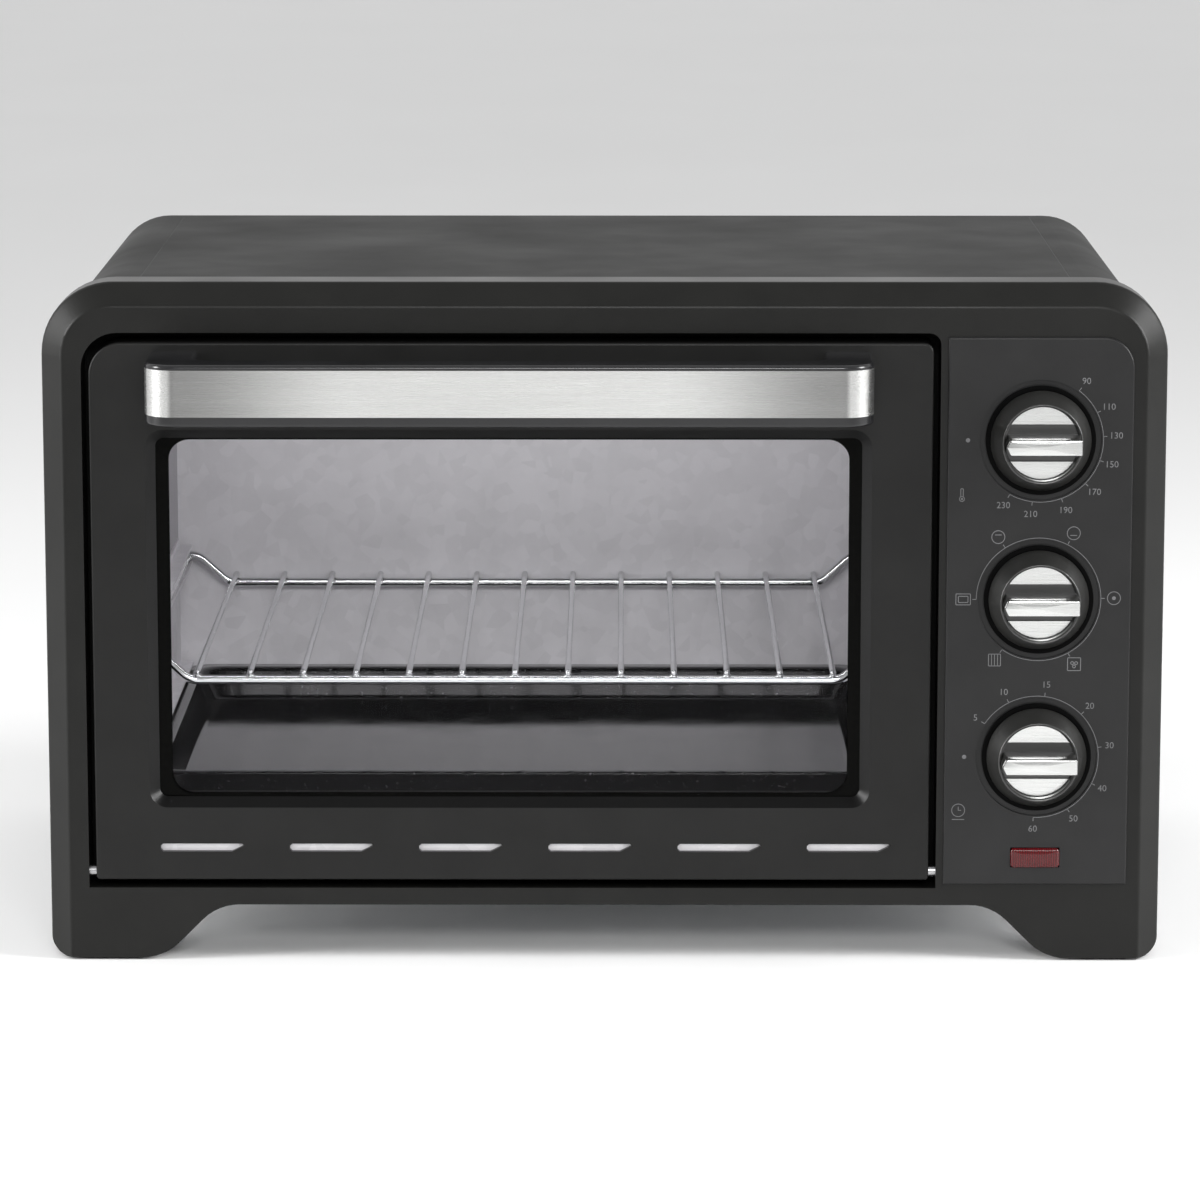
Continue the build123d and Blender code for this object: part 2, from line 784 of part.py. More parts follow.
def glass_clips():
    """Z-shaped spring-steel clips that press the pane forward onto its seal."""
    clips = []
    back = glass_front + glass_thickness
    for x, z, sign in clip_places():
        z0, z1 = sorted((z - sign * 4, z + sign * 2))
        tongue = block(x - 9, x + 9, back, back + 1, z0, z1)
        z0, z1 = sorted((z + sign * 1, z + sign * 2))
        riser = block(x - 9, x + 9, door_wall, back + 1, z0, z1)
        z0, z1 = sorted((z + sign * 1, z + sign * clip_foot))
        foot = block(x - 9, x + 9, door_wall, door_wall + 1, z0, z1)
        clips.append(tongue + riser + foot)
    return Compound(children=clips)


def clip_screws():
    screws = []
    for x, z, sign in clip_places():
        screws.append(rod_y(x, z + sign * (clip_foot - 2.8), 2.6, door_wall + 1, door_wall + 2.8))
    return Compound(children=screws)


def door_inner_panel():
    """Steel sheet that closes the back of the door round the window."""
    radii = (door_radius, 4.0, 1.5, 1.5)
    face = rounded(door_left, door_right, door_bottom, door_top, *radii)
    sheet = slab(face - window_face(-window_bevel + 1), door_back - inner_sheet, door_back)
    reach = door_back - inner_sheet - glass_front - glass_thickness - 2
    ring_face = window_face(-window_bevel + 2) - window_face(-window_bevel + 1)
    for x in spring_x:
        sheet = sheet - spring_slot_cut(x, door_back - inner_sheet, door_back)
    for x, z in panel_screw_places():
        sheet = sheet - panel_screw(x, z)
    return sheet + slab(ring_face, door_back - inner_sheet - reach, door_back - inner_sheet)


def spring_studs():
    """Studs inside the door's two sides that the springs hook on to."""
    studs = []
    for x, wall_x in zip(spring_x, (door_left + door_wall, door_right - door_wall)):
        sign = 1 if x > wall_x else -1
        x0, x1 = sorted((wall_x, x + sign * 3))
        studs.append(rod_x(stud_y, stud_z, stud_radius, x0, x1))
    return Compound(children=studs)


def vent_strip():
    """Bright deflector strip just behind the vents."""
    xs = [x for x, z in slot_centres()]
    z = slot_centres()[0][1]
    half = slot_length / 2 + 4
    z0 = z - slot_height / 2 - 2.5
    z1 = z + slot_height / 2 + 1.8
    return block(min(xs) - half, max(xs) + half, door_wall, door_wall + 0.8, z0, z1)


def handle_outline(grow):
    """Plan of the handle: a bar with two legs, round at the front corners."""
    x0 = handle_left - grow
    x1 = handle_right + grow
    front = -handle_reach - grow
    face = Pos((x0 + x1) / 2, front / 2) * Rectangle(x1 - x0, -front)
    for x in (x0, x1):
        corner = face.vertices().sort_by_distance(Vector(x, front, 0))[0]
        face = fillet(corner, handle_radius + grow)
    return face


def handle_gap_face():
    x0 = handle_left + handle_leg
    x1 = handle_right - handle_leg
    front = -handle_reach + handle_bar
    face = Pos((x0 + x1) / 2, (front + 2) / 2) * Rectangle(x1 - x0, 2 - front)
    for x in (x0, x1):
        corner = face.vertices().sort_by_distance(Vector(x, front, 0))[0]
        face = fillet(corner, 9.0)
    return face


def handle_trim():
    """Brushed strip let into the handle's front and wrapped round both ends."""
    z0 = handle_bottom + trim_bottom
    z1 = handle_top - trim_top
    face = handle_outline(0) - handle_outline(-trim_sheet)
    strip = extrude(Pos(0, 0, z0) * face, amount=z1 - z0)
    keep = block(handle_left - 1, handle_right + 1, -handle_reach - 1, -handle_reach + trim_wrap, z0 - 1, z1 + 1)
    return strip & keep


def handle_body():
    """Black moulded handle, hollowed at the front for its strip."""
    face = handle_outline(0) - handle_gap_face()
    bar = extrude(Pos(0, 0, handle_bottom) * face, amount=handle_height)
    ends = [bar.faces().sort_by(Axis.Z)[0], bar.faces().sort_by(Axis.Z)[-1]]
    edges = [e for f in ends for e in f.edges() if e.center().Y < -1.0]
    bar = fillet(edges, 1.4)
    return bar - handle_trim()


def handle_screws():
    """Screws from inside the door into the handle's legs."""
    screws = []
    z = (handle_bottom + handle_top) / 2
    for x in (handle_left + handle_leg / 2, handle_right - handle_leg / 2):
        head = rod_y(x, z, 4.2, door_wall, door_wall + 2.2)
        screws.append(head)
    return Compound(children=screws)


def inner_panel_screws():
    """Countersunk screws round the inner panel's edge, into bosses in the door frame."""
    return Compound(children=[panel_screw(x, z) for x, z in panel_screw_places()])


# ---------------------------------------------------------------- hinge
def hinge_pin(sign):
    """Steel pin pressed into the bracket and running in the door's bottom corner."""
    if sign < 0:
        x0, x1 = opening_left - lip_wall - bracket_sheet, door_left + pin_in_door
    else:
        x0, x1 = door_right - pin_in_door, opening_right + divider + bracket_sheet
    return rod_x(hinge_y, hinge_z, pin_radius, x0, x1)


def hinge_bracket(sign):
    """Angle bracket: one leg holds the pin beside the opening, the other lies on the front plate."""
    t = bracket_sheet
    if sign < 0:
        x0 = opening_left - lip_wall - t
        tab_left, tab_right = x0 - 7, x0 + t
    else:
        x0 = opening_right + divider
        tab_left, tab_right = x0, x0 + t + 9
    z0 = opening_bottom - 1.5
    z1 = opening_bottom + 34
    leg = block(x0, x0 + t, bezel_wall + 0.3, plate_front, z0, z1)
    foot = block(tab_left, tab_right, plate_front - t, plate_front, z0, z1)
    return leg + foot - rod_x(hinge_y, hinge_z, pin_radius, x0 - 1, x0 + t + 1)


def door_spring(x):
    """Extension spring beside the cavity: a coil, an eye on the door's stud and a hook at the back."""
    z = stud_z
    back = spring_front + spring_length
    path = Helix(pitch=spring_length / spring_turns, height=spring_length, radius=spring_radius)
    start = Plane(origin=path @ 0, z_dir=path % 0)
    coil = sweep(start * Circle(spring_wire), path=path)
    coil = Pos(x, spring_front, z) * Rot(-90, 0, 0) * coil
    eye_radius = stud_radius + spring_wire + 0.1
    eye = Pos(x, stud_y, z) * Rot(0, 90, 0) * Torus(eye_radius, spring_wire)
    lead = rod_y(x, z, spring_wire, stud_y + eye_radius, spring_front)
    front_bar = block(x - 0.6, x + spring_radius + 0.4, spring_front - 0.7, spring_front + 0.7, z - 0.7, z + 0.7)
    back_bar = block(x - 0.6, x + spring_radius + 0.4, back - 0.7, back + 0.7, z - 0.7, z + 0.7)
    tail = rod_y(x, z, spring_wire, back, back + spring_hook)
    return coil + eye + lead + front_bar + back_bar + tail


def spring_anchors():
    """Bent tabs on the cavity's outside that hold the springs' back ends."""
    tabs = []
    y0 = spring_front + spring_length + spring_hook
    for x, wall_x in zip(spring_x, (cav_left - cavity_sheet, cav_right + cavity_sheet)):
        x0, x1 = sorted((wall_x, x + (1.6 if x > wall_x else -1.6)))
        tabs.append(block(x0, x1, y0, y0 + 1.5, stud_z - 6, stud_z + 6))
    return Compound(children=tabs)


# ---------------------------------------------------------------- controls
def control_panel():
    """Moulded fascia with a shallow dish round each knob and the lamp's window."""
    face = rounded(panel_left, panel_right, panel_bottom, panel_top, 0, panel_radius, 0, 0)
    back = panel_thickness - panel_proud
    plate = slab(face, -panel_proud, back)
    plate = fillet(plate.faces().sort_by(Axis.Y)[0].edges(), 0.8)
    for z in knob_z:
        plate = plate - rod_y(knob_x, z, dish_radius, -panel_proud - 1, -panel_proud + dish_depth)
        plate = plate - rod_y(knob_x, z, shaft_radius + 1.0, -panel_proud - 1, back + 1)
    half = lens_width / 2
    z0 = lens_rise - lens_height / 2
    z1 = lens_rise + lens_height / 2
    return plate - block(knob_x - half, knob_x + half, -panel_proud - 1, back + 1, z0, z1)


def indicator_lens():
    """Red lens, slightly proud of the panel, with a flange behind it."""
    half = lens_width / 2
    rise = lens_height / 2
    back = panel_thickness - panel_proud
    front = -panel_proud - lens_proud
    lens = block(knob_x - half, knob_x + half, front, back, lens_rise - rise, lens_rise + rise)
    lens = fillet(lens.faces().sort_by(Axis.Y)[0].edges(), 1.0)
    z0 = lens_rise - rise - 1
    z1 = lens_rise + rise + 2
    return lens + block(knob_x - half - 2, knob_x + half + 2, back, back + lens_flange, z0, z1)


def indicator_lamp():
    """Neon lamp and its holder behind the lens."""
    back = panel_thickness - panel_proud + lens_flange
    return block(knob_x - 9, knob_x + 9, back, back + 9, lens_rise - 3.5, lens_rise + 4.5)


def knob_bar_face(z):
    """Front view of the grip bar: a blunt point at the left end, square at the right."""
    x0 = knob_x - knob_bar_length / 2
    x1 = knob_x + knob_bar_length / 2
    rise = knob_bar_width / 2
    nose = 3.0
    corner = 0.8
    upper = [(x0, z), (x0 + nose, z + rise), (x1 - corner, z + rise), (x1, z + rise - corner)]
    lower = [(x1, z - rise + corner), (x1 - corner, z - rise), (x0 + nose, z - rise)]
    return make_face(Polyline(*(upper + lower), close=True))


knob_rim_y = -panel_proud - knob_skirt_height
knob_disc_y = knob_rim_y + knob_recess


def knob_body(z):
    """Black knob: a coned skirt, hollow at the front, with the grip bar standing in it."""
    foot = knob_back - knob_rim
    skirt = rod_y(knob_x, z, knob_radius, foot, knob_back)
    skirt = skirt + cone_y(knob_x, z, knob_top_radius, knob_radius, knob_rim_y, foot)
    lip = skirt.faces().sort_by(Axis.Y)[0].edges()
    skirt = fillet(lip, 0.6)
    seat = rod_y(knob_x, z, knob_disc_radius, knob_rim_y - 1, knob_disc_y + knob_facing)
    grip = slab(knob_bar_face(z), knob_front + knob_facing, knob_disc_y + 2)
    bore = rod_y(knob_x, z, shaft_radius, knob_disc_y + 2.4, knob_back + 1)
    return skirt - seat + grip - bore


def knob_trim(z):
    """Bright facing: two half discs beside the grip bar, and the bar's front."""
    disc = rod_y(knob_x, z, knob_disc_radius, knob_disc_y, knob_disc_y + knob_facing)
    disc = disc - slab(knob_bar_face(z), knob_disc_y - 5, knob_disc_y + 5)
    facing = slab(knob_bar_face(z), knob_front, knob_front + knob_facing)
    halves = [half for half in disc.solids() if half.volume > 20]
    return Compound(children=[facing] + halves)


def knob_shaft(z):
    """Control shaft from the knob's bore into the control behind the front plate."""
    return rod_y(knob_x, z, shaft_radius, knob_disc_y + 2.4, plate_back + shaft_in_body - 1)


def control_neck(z):
    return rod_y(knob_x, z, neck_radius, plate_front, plate_back)


def control_bore(z):
    return rod_y(knob_x, z, shaft_radius + shaft_clearance, plate_front - 1, plate_back + shaft_in_body)


def thermostat_body():
    z = knob_z[0]
    y0 = plate_back
    case = block(knob_x - 17, knob_x + 17, y0, y0 + 14, z - 15, z + 15)
    stack = block(knob_x - 6, knob_x + 6, y0 + 14, y0 + 34, z - 11, z + 11)
    return case + stack + control_neck(z) - control_bore(z)


def selector_switch():
    z = knob_z[1]
    y0 = plate_back
    case = block(knob_x - 16, knob_x + 16, y0, y0 + 26, z - 16, z + 16)
    case = fillet(case.edges().filter_by(Axis.Y), 3.0)
    for i in range(4):
        x = knob_x - 10.5 + 7 * i
        case = case + block(x - 0.4, x + 0.4, y0 + 26, y0 + 34, z - 3, z + 3)
    return case + control_neck(z) - control_bore(z)


def timer_body():
    z = knob_z[2]
    y0 = plate_back
    case = block(knob_x - 25, knob_x + 25, y0, y0 + 32, z - 25, z + 25)
    case = fillet(case.edges().filter_by(Axis.Y), 4.0)
    return case + control_neck(z) - control_bore(z)


def timer_bell():
    """Gong on the back of the timer, a shallow dome on a post."""
    z = knob_z[2]
    y0 = plate_back + 32
    post = rod_y(knob_x, z, 3.0, y0, y0 + 4)
    dome = cone_y(knob_x, z, 20.0, 12.0, y0 + 4, y0 + 13)
    hollow = cone_y(knob_x, z, 18.8, 10.8, y0 + 3.9, y0 + 11.8)
    return post + (dome - hollow) + rod_y(knob_x, z, 3.0, y0 + 4, y0 + 12.5)


def control_screws():
    """Two screws through the front plate into each control."""
    screws = []
    for z, reach in zip(knob_z, (11.0, 11.0, 17.0)):
        for sign in (-1, 1):
            screws.append(rod_y(knob_x + sign * reach, z, screw_head - 0.6, plate_front - 1.6, plate_front))
    return Compound(children=screws)


def terminal_block():
    """Mains terminal block on the heat shield's foot side, near the cord gland."""
    x0 = shield_right
    z0 = gland_z - 8
    base = block(x0, x0 + 14, rear_front - 70, rear_front - 22, z0, z0 + 16)
    for i in range(3):
        y = rear_front - 62 + 16 * i
        base = base - rod_x(y, z0 + 8, 2.6, x0 + 8, x0 + 15)
    return base


def control_wires():
    """Three insulated wires from the terminal block to the backs of the controls."""
    x_block = shield_right + 14
    ends = [
        (knob_x, plate_back + 34, knob_z[0]),
        (knob_x + 10.5, plate_back + 34, knob_z[1]),
        (knob_x - 21, plate_back + 32, knob_z[2] + 21),
    ]
    wires = []
    for i, (x, y, z) in enumerate(ends):
        start_y = rear_front - 62 + 16 * i
        run_y = plate_back + 60 + 9 * i
        run_x = x_block + 6 + 4 * i
        points = [
            (x_block, start_y, gland_z),
            (run_x, start_y, gland_z),
            (run_x, run_y, gland_z),
            (run_x, run_y, z),
            (x, run_y, z),
            (x, y, z),
        ]
        path = FilletPolyline(*points, radius=2.6)
        start = Plane(origin=points[0], z_dir=(1, 0, 0))
        wires.append(sweep(start * Circle(1.1), path=path))
    return Compound(children=wires)


# ---------------------------------------------------------------- write the nodes
def nodes():
    parts = {
        "front_bezel": front_bezel(),
        "front_foot_pads": foot_pads(),
        "rear_feet": rear_feet(),
        "front_plate": front_plate(),
        "outer_cover": outer_cover(),
        "base_pan": base_pan(),
        "rear_panel": rear_panel(),
        "rear_screws": rear_screws(),
        "cover_screws": cover_screws(),
        "cord_gland": cord_gland(),
        "heat_shield": heat_shield(),
        "cavity_shell": cavity_shell(),
        "cavity_back": cavity_back(),
        "element_insulators": element_insulators(),
        "left_runner": runner(-1),
        "right_runner": runner(1),
        "rack_frame": rack_frame(),
        "rack_wires": rack_wires(),
        "baking_tray": baking_tray(),
        "door_frame": door_frame(),
        "door_inner_panel": door_inner_panel(),
        "door_glass": door_glass(),
        "glass_seal": glass_seal(),
        "glass_clips": glass_clips(),
        "clip_screws": clip_screws(),
        "vent_strip": vent_strip(),
        "inner_panel_screws": inner_panel_screws(),
        "handle_body": handle_body(),
        "handle_trim": handle_trim(),
        "handle_screws": handle_screws(),
        "hinge_pins": Compound(children=[hinge_pin(-1), hinge_pin(1)]),
        "left_hinge_bracket": hinge_bracket(-1),
        "right_hinge_bracket": hinge_bracket(1),
        "left_door_spring": door_spring(spring_x[0]),
        "right_door_spring": door_spring(spring_x[1]),
        "spring_studs": spring_studs(),
        "spring_anchors": spring_anchors(),
        "control_panel": control_panel(),
        "indicator_lens": indicator_lens(),
        "indicator_lamp": indicator_lamp(),
        "thermostat_body": thermostat_body(),
        "selector_switch": selector_switch(),
        "timer_body": timer_body(),
        "timer_bell": timer_bell(),
        "control_screws": control_screws(),
        "terminal_block": terminal_block(),
        "control_wires": control_wires(),
    }
    for name, (y, z) in element_axes().items():
        parts[name] = heating_element(y, z)
    for name, z in zip(("thermostat", "selector", "timer"), knob_z):
        parts[f"{name}_knob"] = knob_body(z)
        parts[f"{name}_knob_trim"] = knob_trim(z)
        parts[f"{name}_shaft"] = knob_shaft(z)
    return parts


os.makedirs("parts", exist_ok=True)
for node, shape in nodes().items():
    export_step(Pos(0, front_y, 0) * shape, f"parts/{node}.step")
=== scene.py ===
"""Toaster oven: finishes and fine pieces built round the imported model."""

import sys
import json
import logging
import math
from dataclasses import dataclass, field
from enum import Enum

import bpy
import numpy as np
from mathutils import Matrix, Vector


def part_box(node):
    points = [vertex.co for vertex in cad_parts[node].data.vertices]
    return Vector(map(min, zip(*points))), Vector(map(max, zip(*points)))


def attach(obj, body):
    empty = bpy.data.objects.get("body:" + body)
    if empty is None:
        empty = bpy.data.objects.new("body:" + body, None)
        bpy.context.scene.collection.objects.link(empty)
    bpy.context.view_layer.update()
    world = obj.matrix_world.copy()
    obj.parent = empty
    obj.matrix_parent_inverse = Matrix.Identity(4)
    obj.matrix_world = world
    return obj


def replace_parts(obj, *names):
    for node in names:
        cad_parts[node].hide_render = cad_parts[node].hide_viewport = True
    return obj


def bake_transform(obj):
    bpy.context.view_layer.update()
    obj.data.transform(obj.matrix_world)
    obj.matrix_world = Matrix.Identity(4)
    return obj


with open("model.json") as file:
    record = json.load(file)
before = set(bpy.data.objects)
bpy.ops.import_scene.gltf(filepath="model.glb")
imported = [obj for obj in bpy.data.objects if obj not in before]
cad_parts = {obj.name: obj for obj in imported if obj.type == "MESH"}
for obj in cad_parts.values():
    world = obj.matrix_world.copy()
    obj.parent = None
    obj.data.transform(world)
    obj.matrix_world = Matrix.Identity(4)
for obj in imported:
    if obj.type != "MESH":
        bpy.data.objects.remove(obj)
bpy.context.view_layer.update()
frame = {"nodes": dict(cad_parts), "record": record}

LOG = logging.getLogger("toaster_oven")
MM = 0.001
BODY = "oven_body"
Pair = tuple[float, float]
Triple = tuple[float, float, float]
Link = bpy.types.NodeSocket
Inputs = dict[str | int, object]


# ------------------------------------------------------------------ surfaces
@dataclass
class Shape:
    """Points and faces of one closed solid."""

    points: np.ndarray
    faces: list[tuple[int, ...]]


@dataclass
class Patch:
    """Grid of points: one row per step along the piece, one column per step round it."""

    points: np.ndarray
    ring_rows: bool = False
    first_pole: np.ndarray | None = None
    last_pole: np.ndarray | None = None

    def shape(self) -> Shape:
        """Joins the grid into faces that point outwards.

        Each face joins two neighbours in one row to the same two in the next row, and the last
        column joins the first. A pole closes an end with a fan. The signed volume is the sum of
        p . (q x r) / 6 over all triangles p, q, r, and the faces turn round where it is negative.

        Returns:
            The closed solid.
        """
        rows, columns = self.points.shape[:2]
        index = np.arange(rows * columns).reshape(rows, columns)
        here = index if self.ring_rows else index[:-1]
        after = np.roll(index, -1, axis=0) if self.ring_rows else index[1:]
        quads = np.stack([here, np.roll(here, -1, 1), np.roll(after, -1, 1), after], -1).reshape(-1, 4)
        points = self.points.reshape(-1, 3)
        fans = np.zeros((0, 3), int)
        for pole, loop, side in ((self.first_pole, index[0], -1), (self.last_pole, index[-1], 1)):
            if pole is not None:
                tip = np.full(columns, len(points))
                points = np.vstack([points, np.reshape(pole, (1, 3))])
                nearer, further = (loop, np.roll(loop, -1))[::side]
                fans = np.vstack([fans, np.stack([tip, nearer, further], -1)])
        triangles = np.vstack([quads[:, [0, 1, 2]], quads[:, [0, 2, 3]], fans])
        corner = points[triangles] - points.mean(0)
        volume = np.einsum("ij,ij->i", corner[:, 0], np.cross(corner[:, 1], corner[:, 2])).sum()
        if volume < 0:
            quads, fans = quads[:, ::-1], fans[:, ::-1]
        return Shape(points, [tuple(f) for f in quads.tolist() + fans.tolist()])


def circle(radius: float, steps: int = 48) -> np.ndarray:
    """Points (radius cos a, radius sin a) for equal steps of the angle a."""
    angle = np.arange(steps) * 2 * np.pi / steps
    return radius * np.stack([np.cos(angle), np.sin(angle)], -1)


def rounded_rectangle(
    half_x: np.ndarray | float, half_y: np.ndarray | float, radius: np.ndarray | float, steps: int = 8
) -> np.ndarray:
    """Outlines of rounded rectangles about the origin, one per entry of the sizes.

    Each corner is a quarter circle: its centre lies one radius inside both sides, and the angle
    runs a quarter turn from one side to the next.

    Args:
        half_x: Half widths.
        half_y: Half heights.
        radius: Corner radii.
        steps: Points in each corner.

    Returns:
        Array of outlines, (entries, 4 * steps, 2).
    """
    half_x, half_y, radius = (np.atleast_1d(np.asarray(v, float)) for v in (half_x, half_y, radius))
    quarter = np.linspace(0, np.pi / 2, steps)
    angle = quarter[None, :] + np.arange(4)[:, None] * np.pi / 2
    sign = np.array([(1, 1), (-1, 1), (-1, -1), (1, -1)], float)
    centre = np.stack([half_x - radius, half_y - radius], -1)[:, None, :] * sign[None]
    arc = np.stack([np.cos(angle), np.sin(angle)], -1)
    return (centre[:, :, None, :] + radius[:, None, None, None] * arc[None]).reshape(len(half_x), -1, 2)


def eased(corners: np.ndarray, ease: float, steps: int = 6, closed: bool = False) -> np.ndarray:
    """Polyline whose corners are eased.

    Each corner gives way to a parabola: (1-s)^2 p + 2 s (1-s) c + s^2 q, where p and q lie on its
    two edges, ease away from the corner c.

    Args:
        corners: Corner points, (n, 2) or (n, 3).
        ease: Distance from the corner to both ends of its parabola.
        steps: Points on each parabola.
        closed: Whether the last corner joins the first.

    Returns:
        The eased line's points.
    """
    corners = np.asarray(corners, float)
    before, after = np.roll(corners, 1, 0), np.roll(corners, -1, 0)
    back = (before - corners) / np.maximum(np.linalg.norm(before - corners, axis=1), 1e-9)[:, None]
    ahead = (after - corners) / np.maximum(np.linalg.norm(after - corners, axis=1), 1e-9)[:, None]
    s = np.linspace(0, 1, steps)[None, :, None]
    p, q, c = (corners + back * ease)[:, None], (corners + ahead * ease)[:, None], corners[:, None]
    curve = (1 - s) ** 2 * p + 2 * s * (1 - s) * c + s**2 * q
    if closed:
        return curve.reshape(-1, corners.shape[1])
    inner = curve[1:-1].reshape(-1, corners.shape[1])
    return np.vstack([corners[:1], inner, corners[-1:]])


def tube(
    path: np.ndarray, radius: float, sides: int = 12, up: Triple = (0, 0, 1), closed: bool = False
) -> Shape:
    """Round wire along a path.

    Each ring is centre + r (cos a * side + sin a * over), where side is the path's direction
    crossed with up, and over is side crossed with the direction. Open ends close as half spheres:
    rings r sin b beyond the end with radius r cos b, up to the pole.

    Args:
        path: Points on the centre line, (n, 3).
        radius: Wire radius.
        sides: Points in each ring.
        up: A direction that the path never takes.
        closed: Whether the path is a loop.

    Returns:
        The wire.
    """
    path = np.asarray(path, float)
    widths = np.full(len(path), radius)
    ends: list[np.ndarray | None] = [None, None]
    if closed:
        along = np.roll(path, -1, 0) - np.roll(path, 1, 0)
    else:
        turn = np.linspace(0, np.pi / 2, 5)[1:-1]
        first = (path[0] - path[1]) / np.linalg.norm(path[0] - path[1])
        last = (path[-1] - path[-2]) / np.linalg.norm(path[-1] - path[-2])
        reach = radius * np.sin(turn)[:, None]
        path = np.vstack([path[0] + first * reach[::-1], path, path[-1] + last * reach])
        widths = np.concatenate([radius * np.cos(turn)[::-1], widths, radius * np.cos(turn)])
        ends = [path[3] + first * radius, path[-4] + last * radius]
        along = np.gradient(path, axis=0)
    along /= np.linalg.norm(along, axis=1)[:, None]
    side = np.cross(along, np.asarray(up, float))
    side /= np.linalg.norm(side, axis=1)[:, None]
    over = np.cross(side, along)
    around = circle(1.0, sides)
    ring = around[None, :, :1] * side[:, None] + around[None, :, 1:] * over[:, None]
    grid = path[:, None] + widths[:, None, None] * ring
    return Patch(grid, closed, ends[0], ends[1]).shape()


def prism(outline: np.ndarray, levels: np.ndarray, centre: np.ndarray | None = None) -> Shape:
    """Solid that stands on a front-view outline.

    Each level is the outline moved inwards by its inset, at its depth. Inwards is the line
    between a point's two neighbours, turned a quarter. Both ends close with a fan.

    Args:
        outline: Points (x, z), (n, 2).
        levels: Rows (inset, y), from back to front.
        centre: Point (x, z) of both fans, the outline's mean if left out.

    Returns:
        The closed solid.
    """
    levels = np.asarray(levels, float)
    along = np.roll(outline, -1, 0) - np.roll(outline, 1, 0)
    inward = np.stack([-along[:, 1], along[:, 0]], -1)
    inward /= np.maximum(np.linalg.norm(inward, axis=1), 1e-12)[:, None]
    x, z = outline[:, 0], outline[:, 1]
    if np.sum(x * np.roll(z, -1) - z * np.roll(x, -1)) < 0:
        inward = -inward
    flat = outline[None] + levels[:, 0][:, None, None] * inward[None]
    depth = np.broadcast_to(levels[:, 1][:, None, None], flat.shape[:2] + (1,))
    grid = np.concatenate([flat[..., :1], depth, flat[..., 1:]], -1)
    cx, cz = outline.mean(0) if centre is None else centre
    poles = [np.array([cx, y, cz]) for y in (levels[0, 1], levels[-1, 1])]
    return Patch(grid, False, poles[0], poles[1]).shape()


def lathe(profile: np.ndarray, x: float, z: float, steps: int = 96) -> Shape:
    """Profile turned about an axis along Y.

    A profile point (r, y) becomes (x + r cos a, y, z + r sin a) for each angle a, and the two ends
    close with a fan to the axis.

    Args:
        profile: Points (r, y), none of them on the axis.
        x: Axis X.
        z: Axis Z.
        steps: Steps round the axis.

    Returns:
        The closed solid.
    """
    around = circle(1.0, steps)
    r, y = profile[:, 0][:, None], profile[:, 1][:, None]
    across, up = around[None, :, 0], around[None, :, 1]
    grid = np.stack([x + r * across, y + 0 * across, z + r * up], -1)
    poles = [np.array([x, profile[i, 1], z]) for i in (0, -1)]
    return Patch(grid, False, poles[0], poles[1]).shape()


def ribbon(path: np.ndarray, width: float, front: float, back: float, closed: bool = False) -> Shape:
    """Flat printed line: a rectangle carried along a front-view path.

    Its four corners are the path's point plus or minus half the width across the path, at the
    front and at the back.

    Args:
        path: Points (x, z), (n, 2).
        width: Line width.
        front: Y of the line's face.
        back: Y of its underside.
        closed: Whether the path is a loop.

    Returns:
        The closed solid.
    """
    path = np.asarray(path, float)
    along = np.roll(path, -1, 0) - np.roll(path, 1, 0) if closed else np.gradient(path, axis=0)
    across = np.stack([-along[:, 1], along[:, 0]], -1)
    across /= np.linalg.norm(across, axis=1)[:, None]
    a, b = path - across * width / 2, path + across * width / 2
    corners = [(a, front), (b, front), (b, back), (a, back)]
    grid = np.stack([np.stack([p[:, 0], np.full(len(p), y), p[:, 1]], -1) for p, y in corners], 1)
    poles = [None, None] if closed else [grid[0].mean(0), grid[-1].mean(0)]
    return Patch(grid, closed, poles[0], poles[1]).shape()


def arc_path(x: float, z: float, radius: float, first: float, last: float, steps: int) -> np.ndarray:
    """Points on a circle, from one clock angle to another, in degrees clockwise from the top.

    Args:
        x: Centre X.
        z: Centre Z.
        radius: Circle radius.
        first: First angle.
        last: Last angle.
        steps: Number of points.

    Returns:
        Points (x, z), (steps, 2).
    """
    angle = np.radians(np.linspace(first, last, steps))
    return np.stack([x + radius * np.sin(angle), z + radius * np.cos(angle)], -1)


def lettering(text: str, size: float, x: float, z: float, front: float, thickness: float) -> Shape:
    """Raised number, centred on a point of the panel and facing forward.

    The flat text's (u, v, w) becomes (x + u, front + thickness / 2 - w, z + v).

    Args:
        text: The digits.
        size: Letter height.
        x: Centre X.
        z: Centre Z.
        front: Y of the print's face.
        thickness: Print thickness.

    Returns:
        The number's solid.
    """
    curve = bpy.data.curves.new("number", "FONT")
    curve.body = text
    curve.size = size
    curve.align_x, curve.align_y = "CENTER", "CENTER"
    curve.extrude = thickness / 2
    curve.resolution_u = 3
    holder = bpy.data.objects.new("number", curve)
    bpy.context.scene.collection.objects.link(holder)
    bpy.context.view_layer.update()
    mesh = bpy.data.meshes.new_from_object(holder.evaluated_get(bpy.context.evaluated_depsgraph_get()))
    flat = np.zeros(len(mesh.vertices) * 3)
    mesh.vertices.foreach_get("co", flat)
    u, v, w = flat.reshape(-1, 3).T
    faces = [tuple(p.vertices) for p in mesh.polygons]
    bpy.data.objects.remove(holder)
    bpy.data.meshes.remove(mesh)
    return Shape(np.stack([x + u, front + thickness / 2 - w, z + v], -1), faces)


